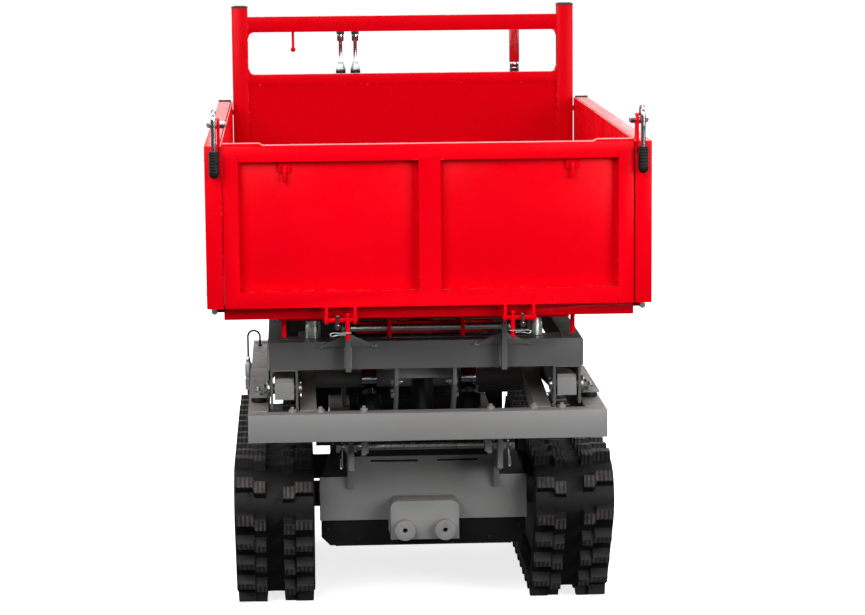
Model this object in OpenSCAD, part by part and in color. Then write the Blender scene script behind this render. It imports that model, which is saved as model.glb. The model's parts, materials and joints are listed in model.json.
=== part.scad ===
// Rubber-tracked power wheelbarrow with a scissor lift and a forward-tipping drop-side bed.
// Millimetres. +X right, +Y from the tailgate towards the operator, +Z up.
// Lengths along Y are counted from the bed's front face; in_frame() moves them to the frame's origin.

/* [Bed] */
// Width over the side boards
bed_w = 936; // [860:2:1000]
// Length of the side boards
bed_l = 1308; // [1200:2:1400]
// Height of the load floor above the ground
floor_z = 759; // [740:1:800]
// Height of the side boards and the tailgate
wall_h = 342; // [280:2:400]
// Thickness of a side board
board_t = 35; // [30:1:40]
// Height of the headboard posts' tops above the ground
post_top_z = 1335; // [1280:5:1400]

/* [Lift] */
// Length of a scissor arm between its end pivots
arm_l = 860; // [820:5:880]
// Height of the lower frame's pivots and roller path
low_pivot_z = 477; // [470:1:480]
// Height of the platform's pivots and roller path when lowered
top_pivot_z = 545; // [540:1:550]
// Distance of the lift rams' eyes from the lower pivot
lift_eye_r = 350; // [340:5:360]
// Distance of the tilt ram's eyes from the tilt pivot
tilt_eye_r = 300; // [290:5:310]

/* [Tracks] */
// Width of a rubber track
track_w = 180; // [160:10:200]
// Distance between the middles of the two tracks
track_gauge = 674; // [660:2:690]
// Height of a tread lug
lug_h = 22; // [16:1:26]
// Thickness of the belt under the lugs
belt_t = 18; // [14:1:20]

/* [Handles] */
// Distance from the bed's front face to the ends of the hand grips
reach_y = 1932; // [1900:2:1960]
// Height of the hand grips
grip_z = 1020; // [960:10:1040]

/* [Hidden] */
$fn = 48;
fit = 0.05;
front_y = -32;
mid_y = (front_y + reach_y) / 2;
half_w = bed_w / 2;
inner_x = half_w - board_t;
gate_x = inner_x - 3;
rail_z = floor_z + wall_h;
tube = 34;
sheet_t = 3;
head_y = bed_l + 6;
post = 40;
post_x = 392;

pivot_y = 250;
arm_rest = asin((top_pivot_z - low_pivot_z) / arm_l);
arm_run = arm_l * cos(arm_rest);
arm_far_y = pivot_y + arm_run;
arm_mid = [pivot_y + arm_run / 2, (low_pivot_z + top_pivot_z) / 2];
arm_half_h = 23;
inner_arm_x = 240;
inner_arm_w = 36;
outer_arm_x = 289;
outer_arm_w = 42;
pin_r = 12;
roller_r = 24.6;
shaft_r = 10;

tilt_y = 200;
tilt_z = 684;
tilt_rod_r = 7.5;
gate_hinge_y = 5;
gate_hinge_z = 731;
gate_pin_r = 5;
side_hinge_x = half_w - 14.5;
side_hinge_z = 748;
side_pin_r = 4;
latch_y = 8;
latch_z = 1145;

spread = 60;
lift_x = 115;
lift_low = [pivot_y + lift_eye_r * cos(arm_rest - spread), low_pivot_z + lift_eye_r * sin(arm_rest - spread)];
lift_high = [pivot_y + lift_eye_r * cos(arm_rest), low_pivot_z + lift_eye_r * sin(arm_rest)];
lift_aim = arm_rest - spread / 2 + 90;
lift_tube_r = 20;
tilt_rise = 2;
tilt_low = [tilt_y + tilt_eye_r * cos(tilt_rise - spread), tilt_z + tilt_eye_r * sin(tilt_rise - spread)];
tilt_high = [tilt_y + tilt_eye_r * cos(tilt_rise), tilt_z + tilt_eye_r * sin(tilt_rise)];
tilt_aim = tilt_rise - spread / 2 + 90;

track_x = track_gauge / 2;
wheel_y = [411, 526, 1070, 1185];
wheel_z = [262, 90, 90, 262];
wheel_tip_r = [105, 90, 90, 105];
belt_back = lug_h + belt_t;
lug_count = 31;

hand_x = 250;
lever_y = 1500;

// ---- helpers ----

// Moves a shape from bed coordinates to the frame's origin
module in_frame() translate([0, -mid_y, 0]) children();

// Makes a shape and its mirror image on the left side
module both() {
    children();
    mirror([1, 0, 0]) children();
}

// Right side, or the mirror image on the left side
module on_side(left) mirror([left ? 1 : 0, 0, 0]) children();

// Box between two corners
module block(x0, x1, y0, y1, z0, z1) translate([x0, y0, z0]) cube([x1 - x0, y1 - y0, z1 - z0]);

// Round bar along X, Y or Z
module bar_x(r, x0, x1, y, z) translate([x0, y, z]) rotate([0, 90, 0]) cylinder(h = x1 - x0, r = r);
module bar_y(r, x, y0, y1, z) translate([x, y1, z]) rotate([90, 0, 0]) cylinder(h = y1 - y0, r = r);
module bar_z(r, x, y, z0, z1) translate([x, y, z0]) cylinder(h = z1 - z0, r = r);

// Plate across X with its outline given as [y, z] points
module plate_x(pts, x0, x1) translate([x0, 0, 0]) rotate([90, 0, 90]) linear_extrude(x1 - x0) polygon(pts);

// Plate across Y with its outline given as [x, z] points
module plate_y(pts, y0, y1) translate([0, y1, 0]) rotate([90, 0, 0]) linear_extrude(y1 - y0) polygon(pts);

// Outline of a rectangle of two half sides with round corners, about the origin
function round_outline(a, b, r) = [for (q = [0 : 3]) for (t = [0 : 15 : 90])
    let (sx = (q == 0 || q == 3) ? 1 : -1, sy = q < 2 ? 1 : -1, w = q * 90 + t)
    [sx * (a - r) + r * cos(w), sy * (b - r) + r * sin(w)]];

// Straight round bar between two points
module strut(a, b, r) {
    d = b - a;
    len = norm(d);
    translate(a) rotate([0, acos(d[2] / len), atan2(d[1], d[0])]) cylinder(h = len, r = r);
}

// Bent round bar through a list of points
module bent_bar(pts, r) {
    for (i = [0 : len(pts) - 2]) strut(pts[i], pts[i + 1], r);
    for (i = [1 : len(pts) - 2]) translate(pts[i]) sphere(r + 0.5);
}

// Places a shape drawn along +Y at a pivot in the side view and tips it up by an angle
module swing(p, angle) translate([0, p[0], p[1]]) rotate([angle, 0, 0]) children();

// ---- tracks ----

function wheel(i) = [wheel_y[i], wheel_z[i]];
function lean(i) = let (j = (i + 1) % 4, d = wheel(j) - wheel(i))
    (i == 3 ? 450 : 360 + atan2(d[1], d[0]) - acos((wheel_tip_r[i] - wheel_tip_r[j]) / norm(d)));
turn_from = [90, lean(0), 270, lean(2)];
turn_to = [lean(0), 270, lean(2), 450];
function rim(i, a, inset) = wheel(i) + (wheel_tip_r[i] - inset) * [cos(a), sin(a)];

// Closed belt outline, a given depth in from the lug tips
function belt_line(inset, step = 6) = [for (i = [0 : 3])
    let (n = ceil((turn_to[i] - turn_from[i]) / step))
    for (k = [0 : n]) rim(i, turn_from[i] + (turn_to[i] - turn_from[i]) * k / n, inset)];

// Lengths of the four curves and four straights of the belt's outer surface, in turn
function arc_len(i) = (wheel_tip_r[i] - lug_h) * (turn_to[i] - turn_from[i]) * PI / 180;
function run_len(i) = norm(rim((i + 1) % 4, turn_to[i], lug_h) - rim(i, turn_to[i], lug_h));
piece_len = [for (i = [0 : 3]) for (v = [arc_len(i), run_len(i)]) v];
function sum_to(n) = n == 0 ? 0 : piece_len[n - 1] + sum_to(n - 1);
loop_len = sum_to(8);
lug_pitch = loop_len / lug_count;
bottom_mid = sum_to(3) + piece_len[3] / 2;

// Point on the belt a distance s along it, raised h above its outer surface
function belt_at(s, h) = let (t = s - floor(s / loop_len) * loop_len,
    n = max([for (q = [0 : 7]) t >= sum_to(q) ? q : 0]), i = floor(n / 2), u = t - sum_to(n))
    n % 2 == 0
    ? rim(i, turn_from[i] + (turn_to[i] - turn_from[i]) * u / piece_len[n], lug_h - h)
    : rim(i, turn_to[i], lug_h - h)
        + (rim((i + 1) % 4, turn_to[i], lug_h) - rim(i, turn_to[i], lug_h)) * u / piece_len[n];

// Toothed outline of one row of lugs
function lug_line(shift) = [for (k = [0 : lug_count - 1])
    let (s = bottom_mid + (k + shift) * lug_pitch)
    for (v = [[-22, 0], [-15, lug_h], [15, lug_h], [22, 0], [lug_pitch / 2, 0]]) belt_at(s + v[0], v[1])];

module track(left) color([0.06, 0.06, 0.065]) in_frame() on_side(left)
    difference() {
        union() {
            plate_x(belt_line(lug_h), track_x - track_w / 2, track_x + track_w / 2);
            plate_x(lug_line(0), track_x + 19, track_x + track_w / 2);
            plate_x(lug_line(0.15), track_x - track_w / 2, track_x - 19);
        }
        plate_x(belt_line(belt_back), track_x - track_w, track_x + track_w);
    }

module track_left() track(true);
module track_right() track(false);

// Wheel of a given radius that turns on a fixed axle
module rolling_wheel(i, r, bore_r) difference() {
    union() {
        bar_x(r, track_x - 56, track_x - 14, wheel_y[i], wheel_z[i]);
        bar_x(r - 14, track_x - 15, track_x + 15, wheel_y[i], wheel_z[i]);
        bar_x(r, track_x + 14, track_x + 56, wheel_y[i], wheel_z[i]);
    }
    bar_x(bore_r, track_x - 60, track_x + 60, wheel_y[i], wheel_z[i]);
}

idler_axle_r = 12;
module idler(left) color([0.14, 0.14, 0.15]) in_frame() on_side(left)
    rolling_wheel(0, wheel_tip_r[0] - belt_back - 0.8, idler_axle_r + fit);
module idler_left() idler(true);
module idler_right() idler(false);

module road_roller(left, i) color([0.14, 0.14, 0.15]) in_frame() on_side(left)
    rolling_wheel(i, wheel_tip_r[i] - belt_back - 0.8, shaft_r + fit);
module road_roller_left_front() road_roller(true, 1);
module road_roller_left_rear() road_roller(true, 2);
module road_roller_right_front() road_roller(false, 1);
module road_roller_right_rear() road_roller(false, 2);

// Toothed drive wheel with its shaft, which runs in the gearbox's axle tube
sprocket_tip_r = wheel_tip_r[3] - belt_back - 1;
drive_shaft_r = 15;
module sprocket(left) color([0.2, 0.2, 0.21]) in_frame() on_side(left) {
    for (side = [-1, 1]) difference() {
        bar_x(sprocket_tip_r - 12, track_x + side * 26 - 6, track_x + side * 26 + 6, wheel_y[3], wheel_z[3]);
        for (a = [0 : 60 : 300])
            bar_x(8, track_x - 40, track_x + 40, wheel_y[3] + 36 * cos(a), wheel_z[3] + 36 * sin(a));
    }
    for (a = [0 : 40 : 320])
        translate([0, wheel_y[3], wheel_z[3]]) rotate([a, 0, 0])
            block(track_x - 32, track_x + 32, -6, 6, sprocket_tip_r - 20, sprocket_tip_r);
    bar_x(26, track_x - 40, track_x + 44, wheel_y[3], wheel_z[3]);
    bar_x(drive_shaft_r, 152, track_x - 39, wheel_y[3], wheel_z[3]);
}
module sprocket_left() sprocket(true);
module sprocket_right() sprocket(false);

// Side plates inside each belt, with the axles of the idler and the road rollers
track_plate = [[383, 240], [383, 284], [1100, 284], [1112, 240], [1098, 66], [500, 66], [430, 195]];
module track_frames() color([0.1, 0.1, 0.11]) in_frame() both() {
    for (x = [track_x - 67, track_x + 61]) plate_x(track_plate, x, x + 6);
    bar_x(idler_axle_r, track_x - 74, track_x + 74, wheel_y[0], wheel_z[0]);
    for (i = [1, 2]) bar_x(shaft_r, track_x - 74, track_x + 74, wheel_y[i], wheel_z[i]);
    block(track_x - 62, track_x + 62, 600, 996, 150, 262);
    block(track_x - 40, track_x + 40, 600, 996, 44, 151);
}

// ---- chassis ----

rail_in_x = 150;
rail_out_x = 200;
chassis_y = 416.2;
pan_z = 150;
module chassis_frame() color([0.45, 0.44, 0.43]) in_frame() {
    both() {
        difference() {
            union() {
                block(rail_in_x, rail_out_x, chassis_y, 1720, 300, 345);
                plate_x([[262, 355], [262, 437], [302, 437], [404.8, 380], [404.8, 286], [398, 286], [376, 338],
                    [300, 345]], 159, 171);
                block(194, 200, chassis_y, 1262, pan_z, 301);
                block(159, 171, 1105, 1145, 344, 437);
                for (y = [620, 940]) block(199, track_x - 67, y, y + 56, 200, 250);
                difference() {
                    bar_x(28, 199, 236, wheel_y[3], wheel_z[3]);
                    bar_x(drive_shaft_r + fit, 150, 240, wheel_y[3], wheel_z[3]);
                }
            }
            bar_x(7.55, 150, 180, 282, 405);
            bar_x(drive_shaft_r + 1, 190, 202, wheel_y[3], wheel_z[3]);
        }
        for (x = [84, 140]) difference() {
            union() {
                bar_x(22, x, x + 6, lift_low[0], lift_low[1]);
                block(x, x + 6, lift_low[0] - 22, lift_low[0] + 22, 163, lift_low[1]);
            }
            bar_x(pin_r + fit, x - 1, x + 7, lift_low[0], lift_low[1]);
        }
    }
    block(-200, 200, 418, 482, pan_z, 164);
    for (y = [700, 1000, 1660]) block(-rail_in_x, rail_in_x, y, y + 40, 305, 340);
}

rail_h = 60;
low_frame_z = 447;
low_frame_x = 389;
channel_t = 5;
module lower_frame() color([0.5, 0.49, 0.48]) in_frame() {
    block(-low_frame_x, low_frame_x, 130, 174, low_frame_z, low_frame_z + rail_h);
    block(-low_frame_x, low_frame_x, 1141, 1185, low_frame_z, low_frame_z + rail_h);
    for (y = [262, 1100]) block(-low_frame_x, low_frame_x, y, y + 40, low_frame_z - 10, low_frame_z);
    both() {
        block(384, low_frame_x, 173, 1142, low_frame_z, low_frame_z + rail_h);
        for (z = [low_frame_z, low_frame_z + rail_h - channel_t])
            block(345, 385, 173, 1142, z, z + channel_t);
        for (x = [230, 279]) difference() {
            union() {
                bar_x(24, x, x + 7, pivot_y, low_pivot_z);
                block(x, x + 7, 173, pivot_y, low_pivot_z - 24, low_pivot_z + 24);
            }
            bar_x(pin_r + fit, x - 1, x + 8, pivot_y, low_pivot_z);
        }
    }
}

// Face plate across the chassis, raised between the brackets, with two slots
module front_plate() color([0.47, 0.46, 0.45]) in_frame() difference() {
    plate_y([[-235, 212], [235, 212], [235, 312], [172, 312], [172, 395], [-172, 395], [-172, 312],
        [-235, 312]], 405, 411);
    block(-119, -12, 400, 420, 345, 350);
    block(32, 125, 400, 420, 345, 350);
}

// Hitch block with two drilled bosses
boss_x = 45;
boss_z = 205;
boss_hole_r = 5.5;
module tow_block() color([0.5, 0.49, 0.48]) in_frame() difference() {
    union() {
        block(-77, 77, 340, 404.8, 180, 250);
        block(-62, 62, 340, 404.8, 249, 268);
        both() bar_y(18, 59, 340, 404.8, 250);
        both() bar_y(23, boss_x, 318, 341, boss_z);
    }
    both() bar_y(boss_hole_r, boss_x, 300, 380, boss_z);
}

// Cross pin of the chassis brackets, the arms' lower pins and the lift rams' lower pins
module frame_pins() color([0.75, 0.76, 0.77]) in_frame() {
    bar_x(7.5, -190, 190, 282, 405);
    both() {
        bar_x(pin_r, 224, 287, pivot_y, low_pivot_z);
        bar_x(17, 218, 224.5, pivot_y, low_pivot_z);
        bar_x(pin_r, 80, 149, lift_low[0], lift_low[1]);
        translate([184, 282, 405]) rotate_extrude() translate([10, 0]) circle(r = 2, $fn = 16);
    }
}

// ---- engine, drive and hydraulics behind the bed ----

engine_y = 1560;
module engine_block() color([0.55, 0.56, 0.57]) in_frame() {
    block(-126, 200, 1480, 1640, 345, 356);
    block(-200, -125, 1560, 1640, 345, 356);
    block(-92, 92, 1478, 1642, 356, 520);
    for (k = [0 : 8]) block(-88, 60, 1476 - 2 * k, 1590 - 2 * k, 520 + k * 17, 529 + k * 17);
    block(-66, 40, 1478, 1568, 519, 675);
    bar_x(40, -110, -91, engine_y, 440);
}

// Ribbed cover of the pull starter
module recoil_cover() color([0.08, 0.08, 0.09]) in_frame() difference() {
    union() {
        bar_x(92, 92.2, 132, engine_y, 450);
        bar_x(68, 131, 148, engine_y, 450);
    }
    for (a = [0 : 30 : 330]) translate([0, engine_y, 450]) rotate([a, 0, 0])
        block(127, 150, -4, 4, 74, 86);
}

module rounded_box(x0, x1, y0, y1, z0, z1, r) hull()
    for (x = [x0 + r, x1 - r]) for (y = [y0 + r, y1 - r]) for (z = [z0 + r, z1 - r])
        translate([x, y, z]) sphere(r, $fn = 20);

module fuel_tank() color([0.75, 0.05, 0.06]) in_frame() {
    translate([44, 1653, 566]) linear_extrude(124) polygon(round_outline(84, 59, 22));
    bar_z(26, 60, 1652, 689, 712);
    block(-16, 92, 1600, 1642, 520.1, 567);
}

module muffler() color([0.3, 0.3, 0.31]) in_frame() {
    rounded_box(-190, -96, 1500, 1640, 560, 670, 18);
    bar_y(12, -140, 1636, 1668, 600);
}

module air_filter() color([0.09, 0.09, 0.1]) in_frame()
    rounded_box(64, 168, 1452, 1560, 590, 700, 16);

module gearbox() color([0.4, 0.4, 0.41]) in_frame() {
    block(-96, 96, 1110, 1260, 196, 300);
    both() difference() {
        bar_x(34, 95, 190, wheel_y[3], wheel_z[3]);
        bar_x(drive_shaft_r + fit, 140, 191, wheel_y[3], wheel_z[3]);
    }
    bar_x(20, -128, -95, 1238, 240);
}

// Sheet guards: belt guard, nose plate, belly pan, gearbox covers and the panel before the engine
guard_x = rail_in_x - 0.2;
rear_guard_y = 1265;
module guards() color([0.1, 0.1, 0.11]) in_frame() {
    plate_x([[1224, 225], [1250, 200], [1290, 205], [1612, 400], [1610, 470], [1560, 500],
        [1510, 480], [1224, 290]], -148, -129);
    plate_y([[-212, 153], [212, 153], [232, 173], [232, 313], [200, 393], [-200, 393], [-232, 313],
        [-232, 173]], chassis_y - 5, chassis_y - 1);
    block(-193.8, 193.8, 482.2, rear_guard_y, pan_z, pan_z + 6);
    block(-193.8, 193.8, rear_guard_y - 3, rear_guard_y, pan_z, 299.8);
    block(-guard_x, guard_x, rear_guard_y - 3, rear_guard_y, 299, 344);
    block(-guard_x, guard_x, 1042, rear_guard_y, 341, 344);
    block(-guard_x, guard_x, rear_guard_y - 1, 1293, 345.2, 348);
    block(-guard_x, guard_x, rear_guard_y - 3, rear_guard_y, 343, 348);
    plate_y([[-330, 345.2], [-246, 345.2], [-246, 286], [-201, 286], [-201, 345.2], [201, 345.2],
        [201, 286], [246, 286], [246, 345.2], [330, 345.2], [330, 600], [290, 690], [-290, 690],
        [-330, 600]], 1290, 1293);
}

module hydraulic_tank() color([0.1, 0.1, 0.11]) in_frame() {
    translate([-268, 1560, 360]) linear_extrude(280) polygon(round_outline(62, 90, 14));
    bar_z(24, -268, 1520, 639, 662);
    block(-210, -150.5, 1480, 1555, 345.1, 366);
}

module valve_block() color([0.4, 0.41, 0.42]) in_frame() difference() {
    union() {
        block(-178, -94, lever_y - 34, lever_y + 34, 1062, 1128);
        for (x = [-155, -117]) bar_z(13, x, lever_y, 1127, 1146);
        bar_y(11, -136, lever_y + 33, lever_y + 60, 1090);
    }
    for (x = [-155, -117]) {
        block(x - 5, x + 5, lever_y - 20, lever_y + 20, 1128, 1150);
        bar_x(3.05, x - 20, x + 20, lever_y, 1138);
    }
}

// Switch beside the left rail, with its cable looped over from a hole in the rail's top
switch_x = -402;
switch_y = 1100;
cable_x = -372;
cable_bend = (cable_x - switch_x) / 2;
module limit_switch() color([0.4, 0.4, 0.41]) in_frame() {
    bar_z(8.5, switch_x, switch_y, 396, 468);
    bar_z(4, switch_x, switch_y, 383, 397);
    block(-397, -low_frame_x - 0.2, switch_y - 8, switch_y + 8, 430, 450);
    bar_z(2.5, switch_x, switch_y, 467, 530);
    bar_z(2.5, cable_x, switch_y, low_frame_z + rail_h + 0.1, 530);
    translate([(switch_x + cable_x) / 2, switch_y, 530]) rotate([90, 0, 0])
        rotate_extrude(angle = 180) translate([cable_bend, 0]) circle(2.5);
}

// ---- handlebars and controls ----

console_z = 1056;
grip_len = 132;
hand_r = 16;
module handlebars() color([0.12, 0.12, 0.13]) in_frame() {
    both() {
        block(rail_in_x, hand_x + 20, 1424, 1466, 345, 352);
        bent_bar([[hand_x, 1445, 352], [hand_x, 1445, 1020], [hand_x, 1475, 1040],
            [hand_x, reach_y - grip_len - 22, grip_z], [hand_x, reach_y - 4, grip_z]], hand_r);
        for (s = [-9.5, 6.5]) block(hand_x + s, hand_x + s + 3, clutch_y - 8, clutch_y + 8, 978, 1012);
        bar_x(3, hand_x - 9, hand_x + 9, clutch_y, grip_z - 34);
    }
    bar_x(hand_r - 4, -hand_x, hand_x, 1445, 700);
    difference() {
        block(-330, 330, 1462, 1560, console_z, console_z + 6);
        for (x = [-278, 297]) block(x - 8, x + 8, lever_y - 24, lever_y + 24, console_z - 1, console_z + 7);
    }
    for (x = [-278, 297]) difference() {
        for (s = [-13, 9]) block(x + s, x + s + 4, lever_y - 14, lever_y + 14, console_z - 26, console_z);
        bar_x(4 + fit, x - 20, x + 20, lever_y, console_z - 14);
    }
}

module hand_grips() color([0.06, 0.06, 0.065]) in_frame() both() difference() {
    bar_y(21, hand_x, reach_y - grip_len, reach_y, grip_z);
    bar_y(hand_r + 0.02, hand_x, reach_y - grip_len - 5, reach_y - 3.9, grip_z);
}

// Chrome lever of a hydraulic valve, with a round knob
module valve_lever(x) color([0.8, 0.8, 0.82]) in_frame() {
    block(x - 4, x + 4, lever_y - 7, lever_y + 7, 1133, 1158);
    bar_z(9, x, lever_y, 1157, 1180);
    bar_z(4.5, x, lever_y, 1179, 1245);
    bar_z(8.5, x, lever_y, 1240, 1266);
    bar_x(3, x - 9, x + 9, lever_y, 1138);
}
module lift_valve_lever() valve_lever(-155);
module tilt_valve_lever() valve_lever(-117);

module gear_lever() color([0.8, 0.05, 0.06]) in_frame() {
    bar_x(4, 283, 311, lever_y, console_z - 14);
    block(291, 303, lever_y - 8, lever_y + 8, console_z - 22, 1158);
    bar_z(10, 297, lever_y, 1157, 1182);
    bar_z(13, 297, lever_y, 1181, 1270);
}

module throttle_lever() color([0.8, 0.05, 0.06]) in_frame() {
    bar_x(4, -292, -267, lever_y, console_z - 14);
    block(-283, -273, lever_y - 6, lever_y + 6, console_z - 22, 1120);
    bar_z(4.5, -278, lever_y, 1119, 1140);
    bar_z(9, -278, lever_y, 1136, 1150);
}

// Hand lever under a grip that frees the drive of its side
clutch_y = reach_y - grip_len - 30;
clutch_outline = [[clutch_y - 3, grip_z - 41], [clutch_y + 4, grip_z - 27], [clutch_y + 62, grip_z - 47],
    [reach_y - 30, grip_z - 45], [reach_y - 26, grip_z - 51], [reach_y - 30, grip_z - 57],
    [clutch_y + 58, grip_z - 58]];
module clutch_lever(left) color([0.1, 0.1, 0.11]) in_frame() on_side(left) {
    difference() {
        union() {
            bar_x(9, hand_x - 6, hand_x + 6, clutch_y, grip_z - 34);
            plate_x(clutch_outline, hand_x - 5, hand_x + 5);
        }
        bar_x(3 + fit, hand_x - 8, hand_x + 8, clutch_y, grip_z - 34);
    }
}
module clutch_lever_left() clutch_lever(true);
module clutch_lever_right() clutch_lever(false);

// ---- scissor lift ----

// One arm along +Y from its pivot, in its own frame: square at the pivot, round at the roller
arm_nose = 24;
module arm_body(x, w) {
    plate_x([[-arm_nose, -arm_half_h], [arm_l, -arm_half_h], [arm_l, arm_half_h], [-arm_nose + 7, arm_half_h],
        [-arm_nose, arm_half_h - 9]], x, x + w);
    bar_x(arm_half_h, x, x + w, arm_l, 0);
}

module inner_arms() color([0.42, 0.41, 0.4]) in_frame() swing([pivot_y, low_pivot_z], arm_rest) {
    both() {
        difference() {
            arm_body(inner_arm_x, inner_arm_w);
            for (y = [0, arm_l / 2]) bar_x(pin_r + fit, 200, 300, y, 0);
        }
        bar_x(shaft_r, 205, inner_arm_x + 1, arm_l, 0);
    }
    bar_x(lift_tube_r, -inner_arm_x - 1, inner_arm_x + 1, lift_eye_r, 0);
}

module outer_arms() color([0.5, 0.49, 0.48]) in_frame() swing([pivot_y, top_pivot_z], -arm_rest) {
    both() {
        difference() {
            arm_body(outer_arm_x, outer_arm_w);
            for (y = [0, arm_l / 2]) bar_x(pin_r + fit, 280, 340, y, 0);
        }
        bar_x(shaft_r, outer_arm_x + outer_arm_w - 1, 383, arm_l, 0);
    }
    bar_x(15, -outer_arm_x - 1, outer_arm_x + 1, arm_l - 110, 0);
}

module centre_pins() color([0.75, 0.76, 0.77]) in_frame() both() {
    bar_x(pin_r, 234, 336, arm_mid[0], arm_mid[1]);
    bar_x(18, 227, 234.5, arm_mid[0], arm_mid[1]);
    bar_x(16, 335.5, 341, arm_mid[0], arm_mid[1]);
}

module roller_pair(x0, x1, z) in_frame() both() difference() {
    bar_x(roller_r, x0, x1, arm_far_y, z);
    bar_x(shaft_r + fit, x0 - 1, x1 + 1, arm_far_y, z);
}
module lower_rollers() color([0.3, 0.3, 0.31]) roller_pair(350, 382, low_pivot_z);
module upper_rollers() color([0.3, 0.3, 0.31]) roller_pair(206, 238, top_pivot_z);

// Ram drawn along +Y from its lower eye: a tube with a gland, closed at the eye end
module ram_barrel(x, r, rod_r, len, eye_r) {
    difference() {
        union() {
            bar_x(eye_r, x - r + 2, x + r - 2, 0, 0);
            bar_y(r, x, 14, len, 0);
            bar_y(r + 4, x, len - 26, len, 0);
        }
        bar_x(pin_r + fit, x - r, x + r, 0, 0);
        bar_y(rod_r + 5, x, 44, len - 22, 0);
        bar_y(rod_r + fit, x, len - 30, len + 1, 0);
    }
}

// Ram rod drawn along -Y from its upper eye, with a piston inside the tube
module ram_rod(x, rod_r, len, eye_r, bore_r) {
    difference() {
        union() {
            bar_x(eye_r, x - rod_r - 2, x + rod_r + 2, 0, 0);
            bar_y(rod_r, x, -len, -bore_r - 2, 0);
            bar_y(rod_r + 4.9, x, -len, -len + 10, 0);
        }
        bar_x(bore_r + fit, x - rod_r - 4, x + rod_r + 4, 0, 0);
    }
}

lift_closed = 2 * lift_eye_r * sin(spread / 2);
tilt_closed = 2 * tilt_eye_r * sin(spread / 2);
module lift_barrels() color([0.1, 0.1, 0.11]) in_frame() both()
    swing(lift_low, lift_aim) ram_barrel(lift_x, 24, 15, lift_closed - 44, 22);
module lift_rods() color([0.8, 0.8, 0.82]) in_frame() both()
    swing(lift_high, lift_aim) ram_rod(lift_x, 15, lift_closed - 50, 32, lift_tube_r);
module tilt_barrel() color([0.1, 0.1, 0.11]) in_frame()
    swing(tilt_low, tilt_aim) ram_barrel(0, 24, 15, tilt_closed - 30, 20);
module tilt_rod() color([0.8, 0.8, 0.82]) in_frame()
    swing(tilt_high, tilt_aim) ram_rod(0, 15, tilt_closed - 45, 20, pin_r);

// ---- platform ----

plat_x = 344;
plat_z = 590;
plat_top = 651;
module platform_frame() color([0.5, 0.49, 0.48]) in_frame() {
    block(-plat_x, plat_x, 220, 262, plat_z, plat_top);
    block(-304.5, 304.5, 1150, 1190, plat_z, plat_top);
    block(-304.5, 304.5, 775, 805, plat_z, plat_z + 40);
    block(-304.5, 304.5, 275, 305, plat_z + 20, plat_top);
    both() {
        block(304, plat_x, 261, 1190, plat_z, plat_top);
        // clevis of the outer arm
        for (x = [280, 335]) difference() {
            block(x, x + 5, 222, 278, 506, plat_z + 1);
            bar_x(pin_r + fit, x - 1, x + 6, pivot_y, top_pivot_z);
        }
        // roller channel of the inner arm
        block(200, 204, 775, 1150, 515, plat_z + 0.5);
        block(203.5, 239, 775, 1150, 515, 520);
        block(203.5, 239, 775, 1150, 570, plat_z + 0.5);
        // tilt hinge bracket with its two wings
        difference() {
            union() {
                block(164, 176, 184, 220.5, plat_z, tilt_z);
                bar_x(16, 164, 176, tilt_y, tilt_z);
            }
            bar_x(tilt_rod_r + fit, 160, 180, tilt_y, tilt_z);
        }
        plate_y([[105, 641], [165, 668], [165, 641]], 214, 220.5);
        plate_y([[175, 641], [175, 668], [235, 641]], 214, 220.5);
        // bed rest post
        bar_z(15, 245, 290, plat_top - 1, 690);
        // ears of the tilt ram
        difference() {
            plate_x([[225, plat_z + 1], [262, plat_z + 1], [376, 448], [378, 425], [362, 410], [343, 414],
                [225, 552]], 60, 68);
            bar_x(pin_r + fit, 56, 76, tilt_low[0], tilt_low[1]);
        }
    }
}

module tilt_hinge_rod() color([0.72, 0.73, 0.72]) in_frame() {
    bar_x(tilt_rod_r, -184, 184, tilt_y, tilt_z);
    both() bar_x(12, 176.3, 182, tilt_y, tilt_z);
}

// Plates beside the platform rails that rest on the lower frame through rubber discs
module stop_plates() color([0.45, 0.44, 0.43]) in_frame() both() {
    block(344.2, 388, 280, 620, 519, 523);
    block(344.2, 348, 300, 620, 522, 600);
    bar_z(4, 367, 300, 510, 532);
    bar_z(8, 367, 300, 522, 528);
}

module rubber_bumpers() color([0.05, 0.05, 0.05]) in_frame() both() difference() {
    bar_z(17, 367, 300, 507.3, 518.9);
    bar_z(4.1, 367, 300, 509, 520);
}

module platform_pins() color([0.75, 0.76, 0.77]) in_frame() {
    both() {
        bar_x(pin_r, 274, 343, pivot_y, top_pivot_z);
        bar_x(18, 340.3, 346, pivot_y, top_pivot_z);
    }
    bar_x(pin_r, -74, 74, tilt_low[0], tilt_low[1]);
}

// ---- bed ----

module bed_floor() color([0.8, 0.03, 0.05]) in_frame() {
    difference() {
        union() {
            block(-inner_x, inner_x, 32, head_y, floor_z - 4, floor_z);
            block(-inner_x, inner_x, 32, 36, 731, floor_z - 3);
            block(-inner_x, inner_x, head_y - 4, head_y, 731, floor_z - 3);
            both() block(inner_x - 4, inner_x, 32, head_y, 731, floor_z - 3);
            both() for (x = [171, 193]) block(x, x + 6, -4, 33, gate_hinge_z - 9, gate_hinge_z + 9);
            both() for (y = [80, 640, 1200]) block(inner_x - 1, side_hinge_x + 7, y, y + 30, 740.5, 755.5);
        }
        both() bar_x(gate_pin_r + fit, 165, 205, gate_hinge_y, gate_hinge_z);
        both() bar_y(side_pin_r + fit, side_hinge_x, 40, 1260, side_hinge_z);
    }
}

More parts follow.
